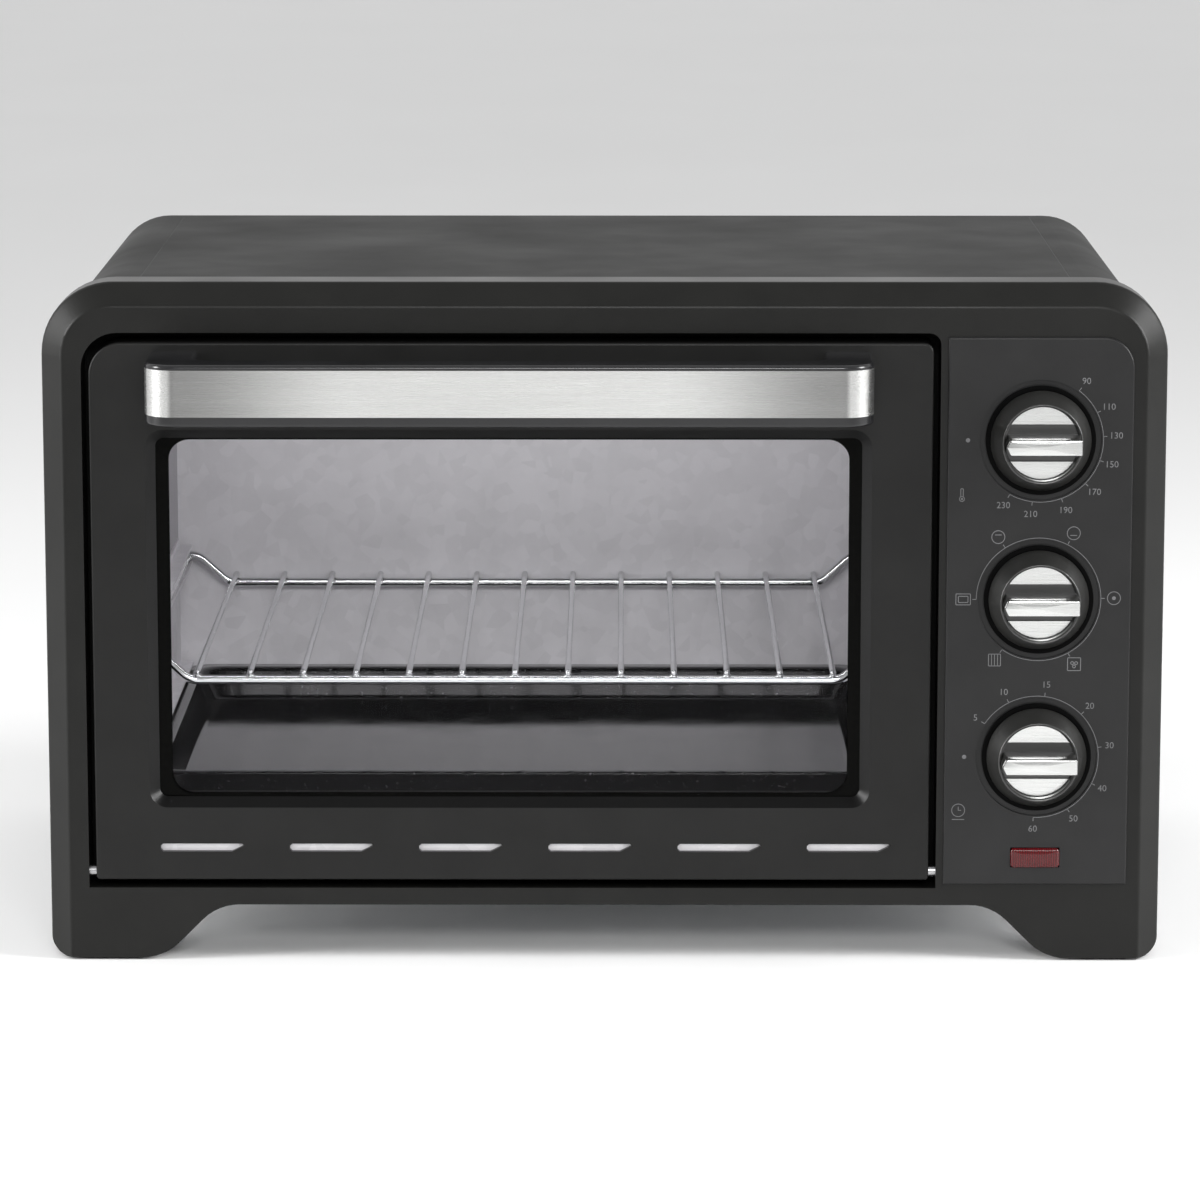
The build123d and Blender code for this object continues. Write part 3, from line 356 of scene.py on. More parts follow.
def make_piece(
    name: str, shapes: list[Shape], material: bpy.types.Material, sharp: float = 38.0
) -> bpy.types.Object:
    """Puts solids into one object at the origin.

    Args:
        name: Object name.
        shapes: Its solids.
        material: Its finish.
        sharp: Faces that meet at more than this many degrees keep a crisp edge.

    Returns:
        The new object.
    """
    starts = np.cumsum([0] + [len(s.points) for s in shapes])
    faces = [tuple(i + start for i in f) for s, start in zip(shapes, starts.tolist()) for f in s.faces]
    mesh = bpy.data.meshes.new(name)
    mesh.from_pydata(np.vstack([s.points for s in shapes]).tolist(), [], faces)
    mesh.polygons.foreach_set("use_smooth", np.ones(len(mesh.polygons), bool))
    mesh.set_sharp_from_angle(angle=math.radians(sharp))
    mesh.materials.append(material)
    mesh.update()
    piece = bpy.data.objects.new(name, mesh)
    bpy.context.scene.collection.objects.link(piece)
    LOG.info("piece %s: %d faces", name, len(faces))
    return piece


# ------------------------------------------------------------------ finishes
class Graph:
    """Node tree of one material, written in short calls."""

    def __init__(self, name: str) -> None:
        """Starts an empty tree with an output.

        Args:
            name: Material name.
        """
        self.material = bpy.data.materials.new(name)
        self.material.use_nodes = True
        self.tree = self.material.node_tree
        self.tree.nodes.clear()
        self.output = self.tree.nodes.new("ShaderNodeOutputMaterial")

    def add(self, kind: str, inputs: Inputs, **settings: object) -> bpy.types.Node:
        """Adds a node.

        Args:
            kind: Node type without its ShaderNode prefix.
            inputs: Values or links by socket name or number.
            settings: Node properties.

        Returns:
            The node.
        """
        node = self.tree.nodes.new("ShaderNode" + kind)
        for key, value in settings.items():
            setattr(node, key, value)
        for key, value in inputs.items():
            if isinstance(value, Link):
                self.tree.links.new(value, node.inputs[key])
            else:
                node.inputs[key].default_value = value
        return node

    def where(self) -> Link:
        """Object coordinates."""
        return self.add("TexCoord", {}).outputs["Object"]

    def math(self, operation: str, *values: Link | float) -> Link:
        """Result of one sum."""
        return self.add("Math", dict(enumerate(values)), operation=operation).outputs[0]

    def place(self, stretch: Triple = (1, 1, 1)) -> Link:
        """Object coordinates, stretched."""
        return self.add("Mapping", {"Vector": self.where(), "Scale": stretch}).outputs[0]

    def noise(self, size: float, detail: float = 3.0, stretch: Triple = (1, 1, 1)) -> Link:
        """Noise with features of about this size in metres."""
        inputs = {"Vector": self.place(stretch), "Scale": 1.0 / size, "Detail": detail, "Roughness": 0.55}
        return self.add("TexNoise", inputs).outputs[0]

    def cells(self, size: float) -> Link:
        """Random grey per crystal of about this size in metres."""
        colour = self.add("TexVoronoi", {"Vector": self.place(), "Scale": 1.0 / size}).outputs["Color"]
        return self.add("SeparateColor", {0: colour}).outputs[0]

    def spread(self, value: Link, low: float, high: float, first: float = 0.25, last: float = 0.75) -> Link:
        """Stretches a noise value to a range."""
        inputs = {"Value": value, "From Min": first, "From Max": last, "To Min": low, "To Max": high}
        return self.add("MapRange", inputs).outputs[0]

    def between(
        self, value: Link, dark: Triple, light: Triple, first: float = 0.3, last: float = 0.7
    ) -> Link:
        """Colour that runs from dark to light with a value.

        Args:
            value: The value.
            dark: Colour up to the first value.
            light: Colour from the last value.
            first: Value where the change starts.
            last: Value where it ends.

        Returns:
            The colour.
        """
        ramp = self.add("ValToRGB", {"Fac": value})
        for element, place, colour in zip(ramp.color_ramp.elements, (first, last), (dark, light)):
            element.position = place
            element.color = (*colour, 1)
        return ramp.outputs[0]

    def mottle(self, colour: Triple) -> Link:
        """The colour, clouded an eighth lighter and darker."""
        return self.between(self.noise(0.02, 5), shade(colour, 0.88), shade(colour, 1.12))

    def mix(self, share: Link, first: Link | tuple, last: Link | tuple) -> Link:
        """Mix of two colours."""
        return self.add("Mix", {0: share, 6: first, 7: last}, data_type="RGBA").outputs[2]

    def bump(self, height: Link, depth: float, under: Link | None = None) -> Link:
        """Bump, over an earlier one.

        Args:
            height: Height pattern.
            depth: Its depth in metres.
            under: The earlier bump.

        Returns:
            The normal.
        """
        inputs: Inputs = {"Height": height, "Distance": depth, "Strength": 1.0}
        if under is not None:
            inputs["Normal"] = under
        return self.add("Bump", inputs).outputs[0]

    def finish(self, shader: bpy.types.Node) -> bpy.types.Material:
        """Joins the last shader to the output."""
        self.tree.links.new(shader.outputs[0], self.output.inputs["Surface"])
        return self.material


def shade(colour: Triple, factor: float) -> Triple:
    """The colour, lighter or darker."""
    return (colour[0] * factor, colour[1] * factor, colour[2] * factor)


@dataclass(frozen=True)
class Finish:
    """Finish on one principled shader, whose inputs each finish gives."""

    name: str

    def inputs(self, g: Graph) -> Inputs:
        """Shader inputs, added to the tree g."""
        raise NotImplementedError

    def build(self) -> bpy.types.Material:
        """Makes the material."""
        g = Graph(self.name)
        return g.finish(g.add("BsdfPrincipled", self.inputs(g)))


@dataclass(frozen=True)
class MouldedPlastic(Finish):
    """Moulded plastic: fine grain, slow drift in gloss and a trace of dust-grey in its colour."""

    colour: Triple
    roughness: float = 0.4
    drift: float = 0.05
    grain: float = 0.0006
    depth: float = 0.00002
    specular: float = 0.5
    coat: float = 0.0

    def inputs(self, g: Graph) -> Inputs:
        """Shader inputs.

        Args:
            g: The material's node tree.

        Returns:
            Values and links by socket name.
        """
        low, high = self.roughness - self.drift, self.roughness + self.drift
        return {
            "Base Color": g.mottle(self.colour),
            "Roughness": g.spread(g.noise(0.05, 2), low, high),
            "Specular IOR Level": self.specular,
            "Coat Weight": self.coat,
            "Coat Roughness": 0.12,
            "Normal": g.bump(g.noise(self.grain, 2), self.depth),
        }


@dataclass(frozen=True)
class PaintedSheet(Finish):
    """Stoved paint on sheet steel: orange peel, fine flake and slightly uneven gloss."""

    colour: Triple
    roughness: float = 0.46

    def inputs(self, g: Graph) -> Inputs:
        """Shader inputs.

        Args:
            g: The material's node tree.

        Returns:
            Values and links by socket name.
        """
        flake = g.spread(g.noise(0.0004, 0), 0, 1, 0.62, 0.72)
        peel = g.noise(0.0016, 2)
        return {
            "Base Color": g.between(flake, self.colour, shade(self.colour, 1.9), 0.1, 1.0),
            "Roughness": g.spread(g.noise(0.07, 3), self.roughness - 0.05, self.roughness + 0.06),
            "Normal": g.bump(peel, 0.00003, g.bump(g.noise(0.09, 1), 0.0004)),
            "Specular IOR Level": 0.045,
        }


@dataclass(frozen=True)
class CoatedSteel(Finish):
    """Dipped sheet steel: crystals of differing grey, cloudy mottle and rolling marks."""

    colour: Triple
    crystal: float = 0.006
    contrast: float = 0.18
    roughness: float = 0.42
    metallic: float = 0.75

    def inputs(self, g: Graph) -> Inputs:
        """Shader inputs.

        Args:
            g: The material's node tree.

        Returns:
            Values and links by socket name.
        """
        cloud = g.noise(0.03, 6)
        mixed = g.math("ADD", g.spread(g.cells(self.crystal), 0, 0.4, 0, 1), g.spread(cloud, 0, 0.6))
        dark, light = shade(self.colour, 1 - self.contrast), shade(self.colour, 1 + self.contrast)
        streak = g.noise(0.001, 2, (0.02, 1, 1))
        return {
            "Base Color": g.between(mixed, dark, light, 0.1, 0.9),
            "Metallic": self.metallic,
            "Roughness": g.spread(mixed, self.roughness - 0.1, self.roughness + 0.1, 0, 1),
            "Normal": g.bump(streak, 0.00001, g.bump(cloud, 0.00035)),
        }


@dataclass(frozen=True)
class BrushedSteel(Finish):
    """Satin steel with hairlines along X; on a long strip, painted shade darkens the ends of the flat."""

    colour: Triple
    roughness: float = 0.28
    line: float = 0.00035
    strip: Pair | None = None
    bend: float = 12.5 * MM
    # how far the painted end shade goes towards near black
    end_shade_share: float = 0.6

    def painted_end_shade(self, g: Graph, colour: Link) -> Link:
        """Paints shade on the flat's ends, in place of the dark reflection there.

        The colour goes the share 0.6 e of the way to near black. With the distance from the
        strip's middle, e rises smoothly from 0 at 0.45 of the flat's half length to 1 at its
        end, and falls back to 0 over the first 3 mm of the bend.

        Args:
            g: The material's node tree.
            colour: The colour so far.

        Returns:
            The colour with its painted end shade.
        """
        middle, half = self.strip
        x = g.add("SeparateXYZ", {0: g.where()}).outputs[0]
        away = g.math("ABSOLUTE", g.math("SUBTRACT", x, middle))
        flat = half - self.bend
        steps = ((flat * 0.45, flat, 0.0, self.end_shade_share), (flat + 0.5 * MM, flat + 3 * MM, 1.0, 0.0))
        ends = []
        for first, last, low, high in steps:
            limits = {"From Min": first, "From Max": last, "To Min": low, "To Max": high}
            step = g.add("MapRange", {"Value": away, **limits}, interpolation_type="SMOOTHSTEP")
            ends.append(step.outputs[0])
        # painted shade: the flat's ends are darkened towards near black
        return g.mix(g.math("MULTIPLY", *ends), colour, (0.02, 0.02, 0.02, 1))

    def inputs(self, g: Graph) -> Inputs:
        """Shader inputs.

        Args:
            g: The material's node tree.

        Returns:
            Values and links by socket name.
        """
        hair = g.noise(self.line, 3, (0.012, 1, 1))
        colour = g.between(g.noise(0.004, 2, (0.05, 1, 1)), shade(self.colour, 0.93), self.colour)
        return {
            "Base Color": colour if self.strip is None else self.painted_end_shade(g, colour),
            "Metallic": 1.0,
            "Roughness": g.spread(hair, self.roughness - 0.08, self.roughness + 0.12),
            "Normal": g.bump(hair, 0.000012),
        }


@dataclass(frozen=True)
class PlatedMetal(Finish):
    """Plated or drawn metal: wires, screws, brass and springs."""

    colour: Triple
    roughness: float = 0.18
    tarnish: float = 0.25

    def inputs(self, g: Graph) -> Inputs:
        """Shader inputs.

        Args:
            g: The material's node tree.

        Returns:
            Values and links by socket name.
        """
        cloud = g.noise(0.008, 5)
        return {
            "Base Color": g.between(cloud, shade(self.colour, 1 - self.tarnish), self.colour),
            "Metallic": 1.0,
            "Roughness": g.spread(cloud, self.roughness + 0.08, max(self.roughness - 0.05, 0.03)),
            "Normal": g.bump(g.noise(0.0007, 2), 0.000006),
        }


@dataclass(frozen=True)
class Enamel(Finish):
    """Vitreous enamel: deep gloss, a soft wave and scattered pale specks."""

    colour: Triple
    speck: Triple = (0.16, 0.16, 0.17)

    def inputs(self, g: Graph) -> Inputs:
        """Shader inputs.

        Args:
            g: The material's node tree.

        Returns:
            Values and links by socket name.
        """
        speck = g.spread(g.noise(0.0011, 0), 0, 1, 0.76, 0.8)
        return {
            "Base Color": g.between(speck, self.colour, self.speck, 0.0, 1.0),
            "Roughness": g.spread(g.noise(0.02, 3), 0.06, 0.14),
            "Specular IOR Level": 0.6,
            "Normal": g.bump(g.noise(0.02, 1, (1, 0.15, 0.15)), 0.00025),
        }


def outside_window(g: Graph, centre: Pair, half: Pair, radius: float, soft: float) -> Link:
    """Mask that is 0 inside a rounded rectangle in the front view and 1 outside it.

    The distance outside is the length of the positive part of |p - centre| - (half - radius),
    less the radius.

    Args:
        g: The material's node tree.
        centre: Centre (x, z).
        half: Half width and half height.
        radius: Corner radius.
        soft: Half the width over which the mask changes.

    Returns:
        The mask.
    """
    any_depth = 10.0
    inner = (half[0] - radius, any_depth, half[1] - radius)
    beyond = g.where()
    steps = (
        ("SUBTRACT", (centre[0], 0, centre[1])),
        ("ABSOLUTE", None),
        ("SUBTRACT", inner),
        ("MAXIMUM", (0, 0, 0)),
    )
    for operation, value in steps:
        inputs = {0: beyond} if value is None else {0: beyond, 1: value}
        beyond = g.add("VectorMath", inputs, operation=operation).outputs[0]
    length = g.add("VectorMath", {0: beyond}, operation="LENGTH").outputs["Value"]
    return g.spread(length, 0, 1, radius - soft, radius + soft)


@dataclass(frozen=True)
class DoorPlastic(Finish):
    """Moulded door plastic, with painted shade in the window's recess: near black inside its outline."""

    colour: Triple
    centre: Pair
    half: Pair
    radius: float = 8.0 * MM
    roughness: float = 0.36

    def inputs(self, g: Graph) -> Inputs:
        """Shader inputs.

        Args:
            g: The material's node tree.

        Returns:
            Values and links by socket name.
        """
        outside = outside_window(g, self.centre, self.half, self.radius, 0.15 * MM)
        drift = g.spread(g.noise(0.05, 2), self.roughness - 0.05, self.roughness + 0.05)
        return {
            # painted shade: the colour is near black inside the window's recess
            "Base Color": g.mix(outside, (0.0015, 0.0015, 0.0015, 1), g.mottle(self.colour)),
            "Roughness": drift,
            "Specular IOR Level": 0.22,
            "Normal": g.bump(g.noise(0.0007, 2), 0.00003),
        }


@dataclass(frozen=True)
class PrintedPane(Finish):
    """Toughened glass with a black border fired on round a clear rounded rectangle."""

    centre: Pair
    half: Pair
    radius: float
    tint: Triple = (0.965, 0.965, 0.97)

    def build(self) -> bpy.types.Material:
        """Makes the material: the mirror's share is 0.002 + 0.5 (1 - cos)^4 on both faces.

        Returns:
            The material.
        """
        g = Graph(self.name)
        clear = g.add("BsdfTransparent", {"Color": (*self.tint, 1)})
        shine = g.add("BsdfGlossy", {"Color": (1, 1, 1, 1), "Roughness": 0.01})
        facing = g.add("LayerWeight", {"Blend": 0.5}).outputs["Facing"]
        edge = g.math("MULTIPLY_ADD", g.math("POWER", facing, 4.0), 0.5, 0.002)
        pane = g.add("MixShader", {0: edge, 1: clear.outputs[0], 2: shine.outputs[0]})
        dots = g.between(g.noise(0.002, 1), (0.002, 0.002, 0.0018), (0.003, 0.003, 0.0027))
        gloss = g.spread(g.noise(0.03, 2), 0.05, 0.12)
        ink = g.add("BsdfPrincipled", {"Base Color": dots, "Roughness": gloss, "Specular IOR Level": 0.03})
        border = outside_window(g, self.centre, self.half, self.radius, 0.1 * MM)
        return g.finish(g.add("MixShader", {0: border, 1: pane.outputs[0], 2: ink.outputs[0]}))


@dataclass(frozen=True)
class LampLens(Finish):
    """Dark red tinted plastic with fine upright ribs inside."""

    colour: Triple = (0.10, 0.003, 0.005)

    def inputs(self, g: Graph) -> Inputs:
        """Shader inputs.

        Args:
            g: The material's node tree.

        Returns:
            Values and links by socket name.
        """
        wave = {"Vector": g.place(), "Scale": 320.0, "Distortion": 0.0}
        ribs = g.add("TexWave", wave, bands_direction="X").outputs["Fac"]
        return {
            "Base Color": g.between(ribs, shade(self.colour, 0.45), self.colour, 0.2, 0.9),
            "Roughness": g.spread(g.noise(0.01, 2), 0.1, 0.2),
            "Coat Weight": 0.3,
            "Coat Roughness": 0.03,
            "Specular IOR Level": 0.3,
            "Subsurface Weight": 0.15,
            "Subsurface Radius": (0.004, 0.0004, 0.0004),
            "Normal": g.bump(ribs, 0.00006),
        }


@dataclass(frozen=True)
class HeatedSheath(Finish):
    """Sheathed heating rod: dull grey-brown steel with bands of heat colour."""

    def inputs(self, g: Graph) -> Inputs:
        """Shader inputs.

        Args:
            g: The material's node tree.

        Returns:
            Values and links by socket name.
        """
        band = g.noise(0.05, 4, (1, 0.2, 0.2))
        return {
            "Base Color": g.between(band, (0.10, 0.085, 0.075), (0.26, 0.24, 0.22)),
            "Metallic": 0.7,
            "Roughness": g.spread(g.noise(0.004, 3), 0.4, 0.6),
            "Normal": g.bump(g.noise(0.0008, 3), 0.00003),
        }


@dataclass(frozen=True)
class PaleFloor(Finish):
    """Matt pale studio surface with a faint tooth."""

    colour: Triple = (0.93, 0.93, 0.93)

    def inputs(self, g: Graph) -> Inputs:
        """Shader inputs.

        Args:
            g: The material's node tree.

        Returns:
            Values and links by socket name.
        """
        return {
            "Base Color": g.between(g.noise(0.4, 3), shade(self.colour, 0.985), self.colour),
            "Roughness": g.spread(g.noise(0.1, 2), 0.5, 0.6),
            "Normal": g.bump(g.noise(0.002, 2), 0.00005),
        }


class Palette:
    """Every finish of the oven, by the record's slot.

    The seal covers the pane's edge by glass_lap, and the fired border is as wide as border, at the
    sides and at the top and bottom.
    """

    glass_lap = 5.0 * MM
    border = (9.1 * MM, 4.8 * MM)
    clear_radius = 9.0 * MM

    def __init__(self) -> None:
        """Builds the materials."""
        centre, half = self.window()
        clear = (half[0] - self.border[0], half[1] - self.border[1])
        plastics = {
            "bezel_black": ("bezel_plastic", (0.0085, 0.0085, 0.0078), 0.36, 0.05, 0.0007, 0.00003, 0.22),
            "panel_black": ("panel_plastic", (0.012, 0.012, 0.0122), 0.34, 0.04, 0.0007, 0.00002, 0.3),
            "handle_black": ("handle_plastic", (0.012, 0.012, 0.013), 0.2, 0.04, 0.0012, 0.00001),
            "knob_black": ("knob_plastic", (0.015, 0.015, 0.014), 0.34, 0.04, 0.0012, 0.00001, 0.8, 0.5),
            "rubber_black": ("rubber_black", (0.016, 0.016, 0.016), 0.72, 0.05, 0.0009, 0.00005),
            # painted shadow: near-black, almost unreflecting ring round each knob's foot
            "collar": ("knob_collar", (0.0015, 0.0015, 0.0015), 0.5, 0.05, 0.0006, 0.00002, 0.03),
            "print": ("dial_ink", (0.13, 0.13, 0.135), 0.5),
            "silicone": ("silicone", (0.03, 0.03, 0.03), 0.6),
            "ceramic": ("ceramic", (0.68, 0.66, 0.6), 0.55),
            "control_plastic": ("control_plastic", (0.11, 0.10, 0.09), 0.45),
            "terminal_white": ("terminal_white", (0.7, 0.7, 0.68), 0.4),
            "wire_insulation": ("wire_insulation", (0.45, 0.06, 0.04), 0.4),
        }
        finishes: dict[str, Finish] = {slot: MouldedPlastic(*values) for slot, values in plastics.items()}
        finishes |= {
            # door plastic with painted shade in the window's recess
            "door_black": DoorPlastic("door_plastic", (0.009, 0.009, 0.0087), centre, half),
            "cover_black": PaintedSheet("cover_paint", (0.0075, 0.0075, 0.0072)),
            "aluminised_steel": CoatedSteel("aluminised_steel", (0.88, 0.865, 0.89), 0.006, 0.09, 0.5, 0.2),
            "cavity_walls": CoatedSteel("cavity_walls", (0.5, 0.49, 0.51), 0.006, 0.09, 0.42, 0.55),
            "galvanised_steel": CoatedSteel("galvanised_steel", (0.52, 0.53, 0.54), 0.009, 0.3, 0.45, 0.9),
            "spring_steel": PlatedMetal("spring_steel", (0.42, 0.42, 0.43), 0.3),
            "chrome_wire": PlatedMetal("chrome_wire", (0.78, 0.79, 0.8), 0.12, 0.08),
            "brass": PlatedMetal("brass", (0.72, 0.52, 0.22), 0.22),
            "screw_steel": PlatedMetal("screw_steel", (0.5, 0.5, 0.51), 0.26),
            "handle_steel": BrushedSteel("handle_steel", (0.7, 0.7, 0.69), 0.24, strip=self.strip()),
            "knob_silver": BrushedSteel("knob_silver", (0.68, 0.685, 0.675), 0.22, 0.0003),
            "black_enamel": Enamel("black_enamel", (0.0015, 0.0015, 0.0018)),
            "door_glass": PrintedPane("door_glass_pane", centre, clear, self.clear_radius),
            "lens_red": LampLens("lens_red"),
            "element_sheath": HeatedSheath("element_sheath"),
        }
        self.materials = {slot: finish.build() for slot, finish in finishes.items()}

    def window(self) -> tuple[Pair, Pair]:
        """Place of the window's recess, from the pane's hidden edge.

        Returns:
            Its centre (x, z) and its half width and half height.
        """
        low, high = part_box("door_glass")
        half_x = (high.x - low.x) / 2 - self.glass_lap
        half_z = (high.z - low.z) / 2 - self.glass_lap
        return ((low.x + high.x) / 2, (low.z + high.z) / 2), (half_x, half_z)

    def strip(self) -> Pair:
        """Middle X and half length of the handle's steel strip."""
        low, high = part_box("handle_trim")
        return (low.x + high.x) / 2, (high.x - low.x) / 2

    def __getitem__(self, slot: str) -> bpy.types.Material:
        """The material of a slot."""
        return self.materials[slot]


def centre_of(node: str) -> Vector:
    """Middle of a CAD node's box."""
    low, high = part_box(node)
    return (low + high) / 2


def stand_for(piece: bpy.types.Object, slot: str, *nodes: str) -> bpy.types.Object:
    """Hides the CAD nodes that the piece shows instead of."""
    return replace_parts(piece, *nodes)


# ------------------------------------------------------------------ sub-assemblies
@dataclass
class CarriedNodes:
    """The CAD nodes that keep their own shape and get a finish."""

    palette: Palette
    own: dict[str, str] = field(default_factory=lambda: {"cavity_shell": "cavity_walls"})

    def dress(self) -> None:
        """Gives every CAD node the finish of its slot in the record, or its own version of it."""
        for part in frame["record"]["subparts"]:
            node = frame["nodes"][part["node"]]
            material = self.palette[self.own.get(part["node"], part["material_slot"])]
            if not node.data.materials:
                node.data.materials.append(material)
            for slot in node.material_slots:
                slot.material = material
            LOG.info("node %s: %s", part["node"], part["material_slot"])


class Symbol(Enum):
    """Signs printed round the dials."""

    HOUSING = "double rectangle"
    RING_DASH = "ring with a dash"
    RING_DASH_LOW = "ring with a low dash"
    RING_DOT = "ring with a dot"
    GRID = "square grid"
    FAN = "square with a fan"
    THERMOMETER = "thermometer"
    CLOCK = "clock"


@dataclass
class DialPrint:
    """Marks printed on the panel round one knob."""

    control: str
    palette: Palette
    labels: dict[float, str] = field(default_factory=dict)
    symbols: dict[float, Symbol] = field(default_factory=dict)
    corner: Symbol | None = None
    off_dot: bool = True
    off_radius: float = 30 * MM
    label_radius: float = 30.4 * MM
    text_size: float = 3.8 * MM
    tick_inner: float = 25.8 * MM
    tick_outer: float = 27.4 * MM
    sign_radius: float = 31.2 * MM
    corner_offset: Pair = (-32.2 * MM, -22.8 * MM)
    line: float = 0.32 * MM
    thickness: float = 0.06 * MM

    def __post_init__(self) -> None:
        """Finds the knob's axis and the panel's face."""
        middle = centre_of(self.control + "_knob")
        self.x, self.z = middle.x, middle.z
        self.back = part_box("control_panel")[0].y + 0.02 * MM
        self.front = self.back - self.thickness

    def spot(self, angle: float, radius: float) -> Pair:
        """Point at a clock angle and radius from the axis."""
        turn = math.radians(angle)
        return self.x + radius * math.sin(turn), self.z + radius * math.cos(turn)

    def dot(self, x: float, z: float, radius: float) -> Shape:
        """Filled round mark."""
        outline = circle(radius, 20) + np.array([x, z])
        return prism(outline, np.array([(0, self.back), (0, self.front)]))

    def stroke(self, points: list[Pair], closed: bool = False, ease: float = 0.3 * MM) -> Shape:
        """Printed line with eased corners."""
        path = eased(np.array(points), ease, 4, closed)
        return ribbon(path, self.line, self.front, self.back, closed)

    def frame_lines(self, x: float, z: float, half_x: float, half_z: float) -> Shape:
        """Rectangle outline about a point."""
        turns = ((-1, -1), (1, -1), (1, 1), (-1, 1))
        return self.stroke([(x + a * half_x, z + b * half_z) for a, b in turns], True)

    def loop(self, x: float, z: float, radius: float) -> Shape:
        """Ring outline about a point."""
        return ribbon(circle(radius, 28) + np.array([x, z]), self.line, self.front, self.back, True)

    def sign(self, symbol: Symbol, x: float, z: float) -> list[Shape]:
        """Lines of one sign.

        Args:
            symbol: Which sign.
            x: Its centre X.
            z: Its centre Z.

        Returns:
            Its solids.
        """
        r = 2.7 * MM
        if symbol is Symbol.HOUSING:
            return [self.frame_lines(x, z, a * MM, (a - 0.7) * MM) for a in (3.0, 2.0)]
        if symbol in (Symbol.RING_DASH, Symbol.RING_DASH_LOW):
            level = z + (0.9 * MM if symbol is Symbol.RING_DASH else -0.9 * MM)
            return [self.loop(x, z, r), self.stroke([(x - 1.4 * MM, level), (x + 1.4 * MM, level)])]
        if symbol is Symbol.RING_DOT:
            return [self.loop(x, z, r), self.dot(x, z, 0.8 * MM)]
        if symbol is Symbol.GRID:
            half = 2.5 * MM
            places = [x + k * MM for k in (-1.25, 0, 1.25)]
            bars = [self.stroke([(u, z - half), (u, z + half)]) for u in places]
            return [self.frame_lines(x, z, half, half), *bars]
        if symbol is Symbol.FAN:
            turns = [(math.cos(a) * 0.95 * MM, math.sin(a) * 0.95 * MM) for a in (0.5, 2.6, 4.7)]
            blades = [self.loop(x + u, z + v, 0.6 * MM) for u, v in turns]
            return [self.frame_lines(x, z, r, r), *blades]
        if symbol is Symbol.THERMOMETER:
            half, low, top = 0.5 * MM, z - 0.8 * MM, z + 2.6 * MM
            stem = self.stroke([(x - half, low), (x - half, top), (x + half, top), (x + half, low)])
            bulb = z - 1.7 * MM
            return [stem, self.loop(x, bulb, 1.0 * MM), self.dot(x, bulb, 0.45 * MM)]
        hands = self.stroke([(x, z + 1.6 * MM), (x, z), (x + 1.2 * MM, z)], False, 0.05 * MM)
        rule = self.stroke([(x - 2.6 * MM, z - 3.9 * MM), (x + 2.6 * MM, z - 3.9 * MM)])
        return [self.loop(x, z, r), hands, rule]

    def build(self) -> bpy.types.Object:
        """Makes the arc, ticks, numbers, signs and the off dot.

        Returns:
            The piece, riding on the body.
        """
        marks = [*self.labels, *self.symbols]
        sweep = arc_path(self.x, self.z, self.tick_inner, min(marks), max(marks), 90)
        shapes = [ribbon(sweep, self.line * 0.8, self.front, self.back)]
        if self.off_dot:
            shapes.append(self.dot(*self.spot(-90, self.off_radius), 0.9 * MM))
        for angle in marks:
            ends = [self.spot(angle, self.tick_inner), self.spot(angle, self.tick_outer)]
            shapes.append(ribbon(np.array(ends), self.line, self.front, self.back))
        for angle, text in self.labels.items():
            x, z = self.spot(angle, self.label_radius + 0.35 * MM * (len(text) - 1))
            shapes.append(lettering(text, self.text_size, x, z, self.front, self.thickness))
        for angle, symbol in self.symbols.items():
            shapes += self.sign(symbol, *self.spot(angle, self.sign_radius))
        if self.corner is not None:
            across, up = self.corner_offset
            shapes += self.sign(self.corner, self.x + across, self.z + up)
        piece = make_piece(self.control + "_dial_print", shapes, self.palette["print"])
        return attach(piece, BODY)


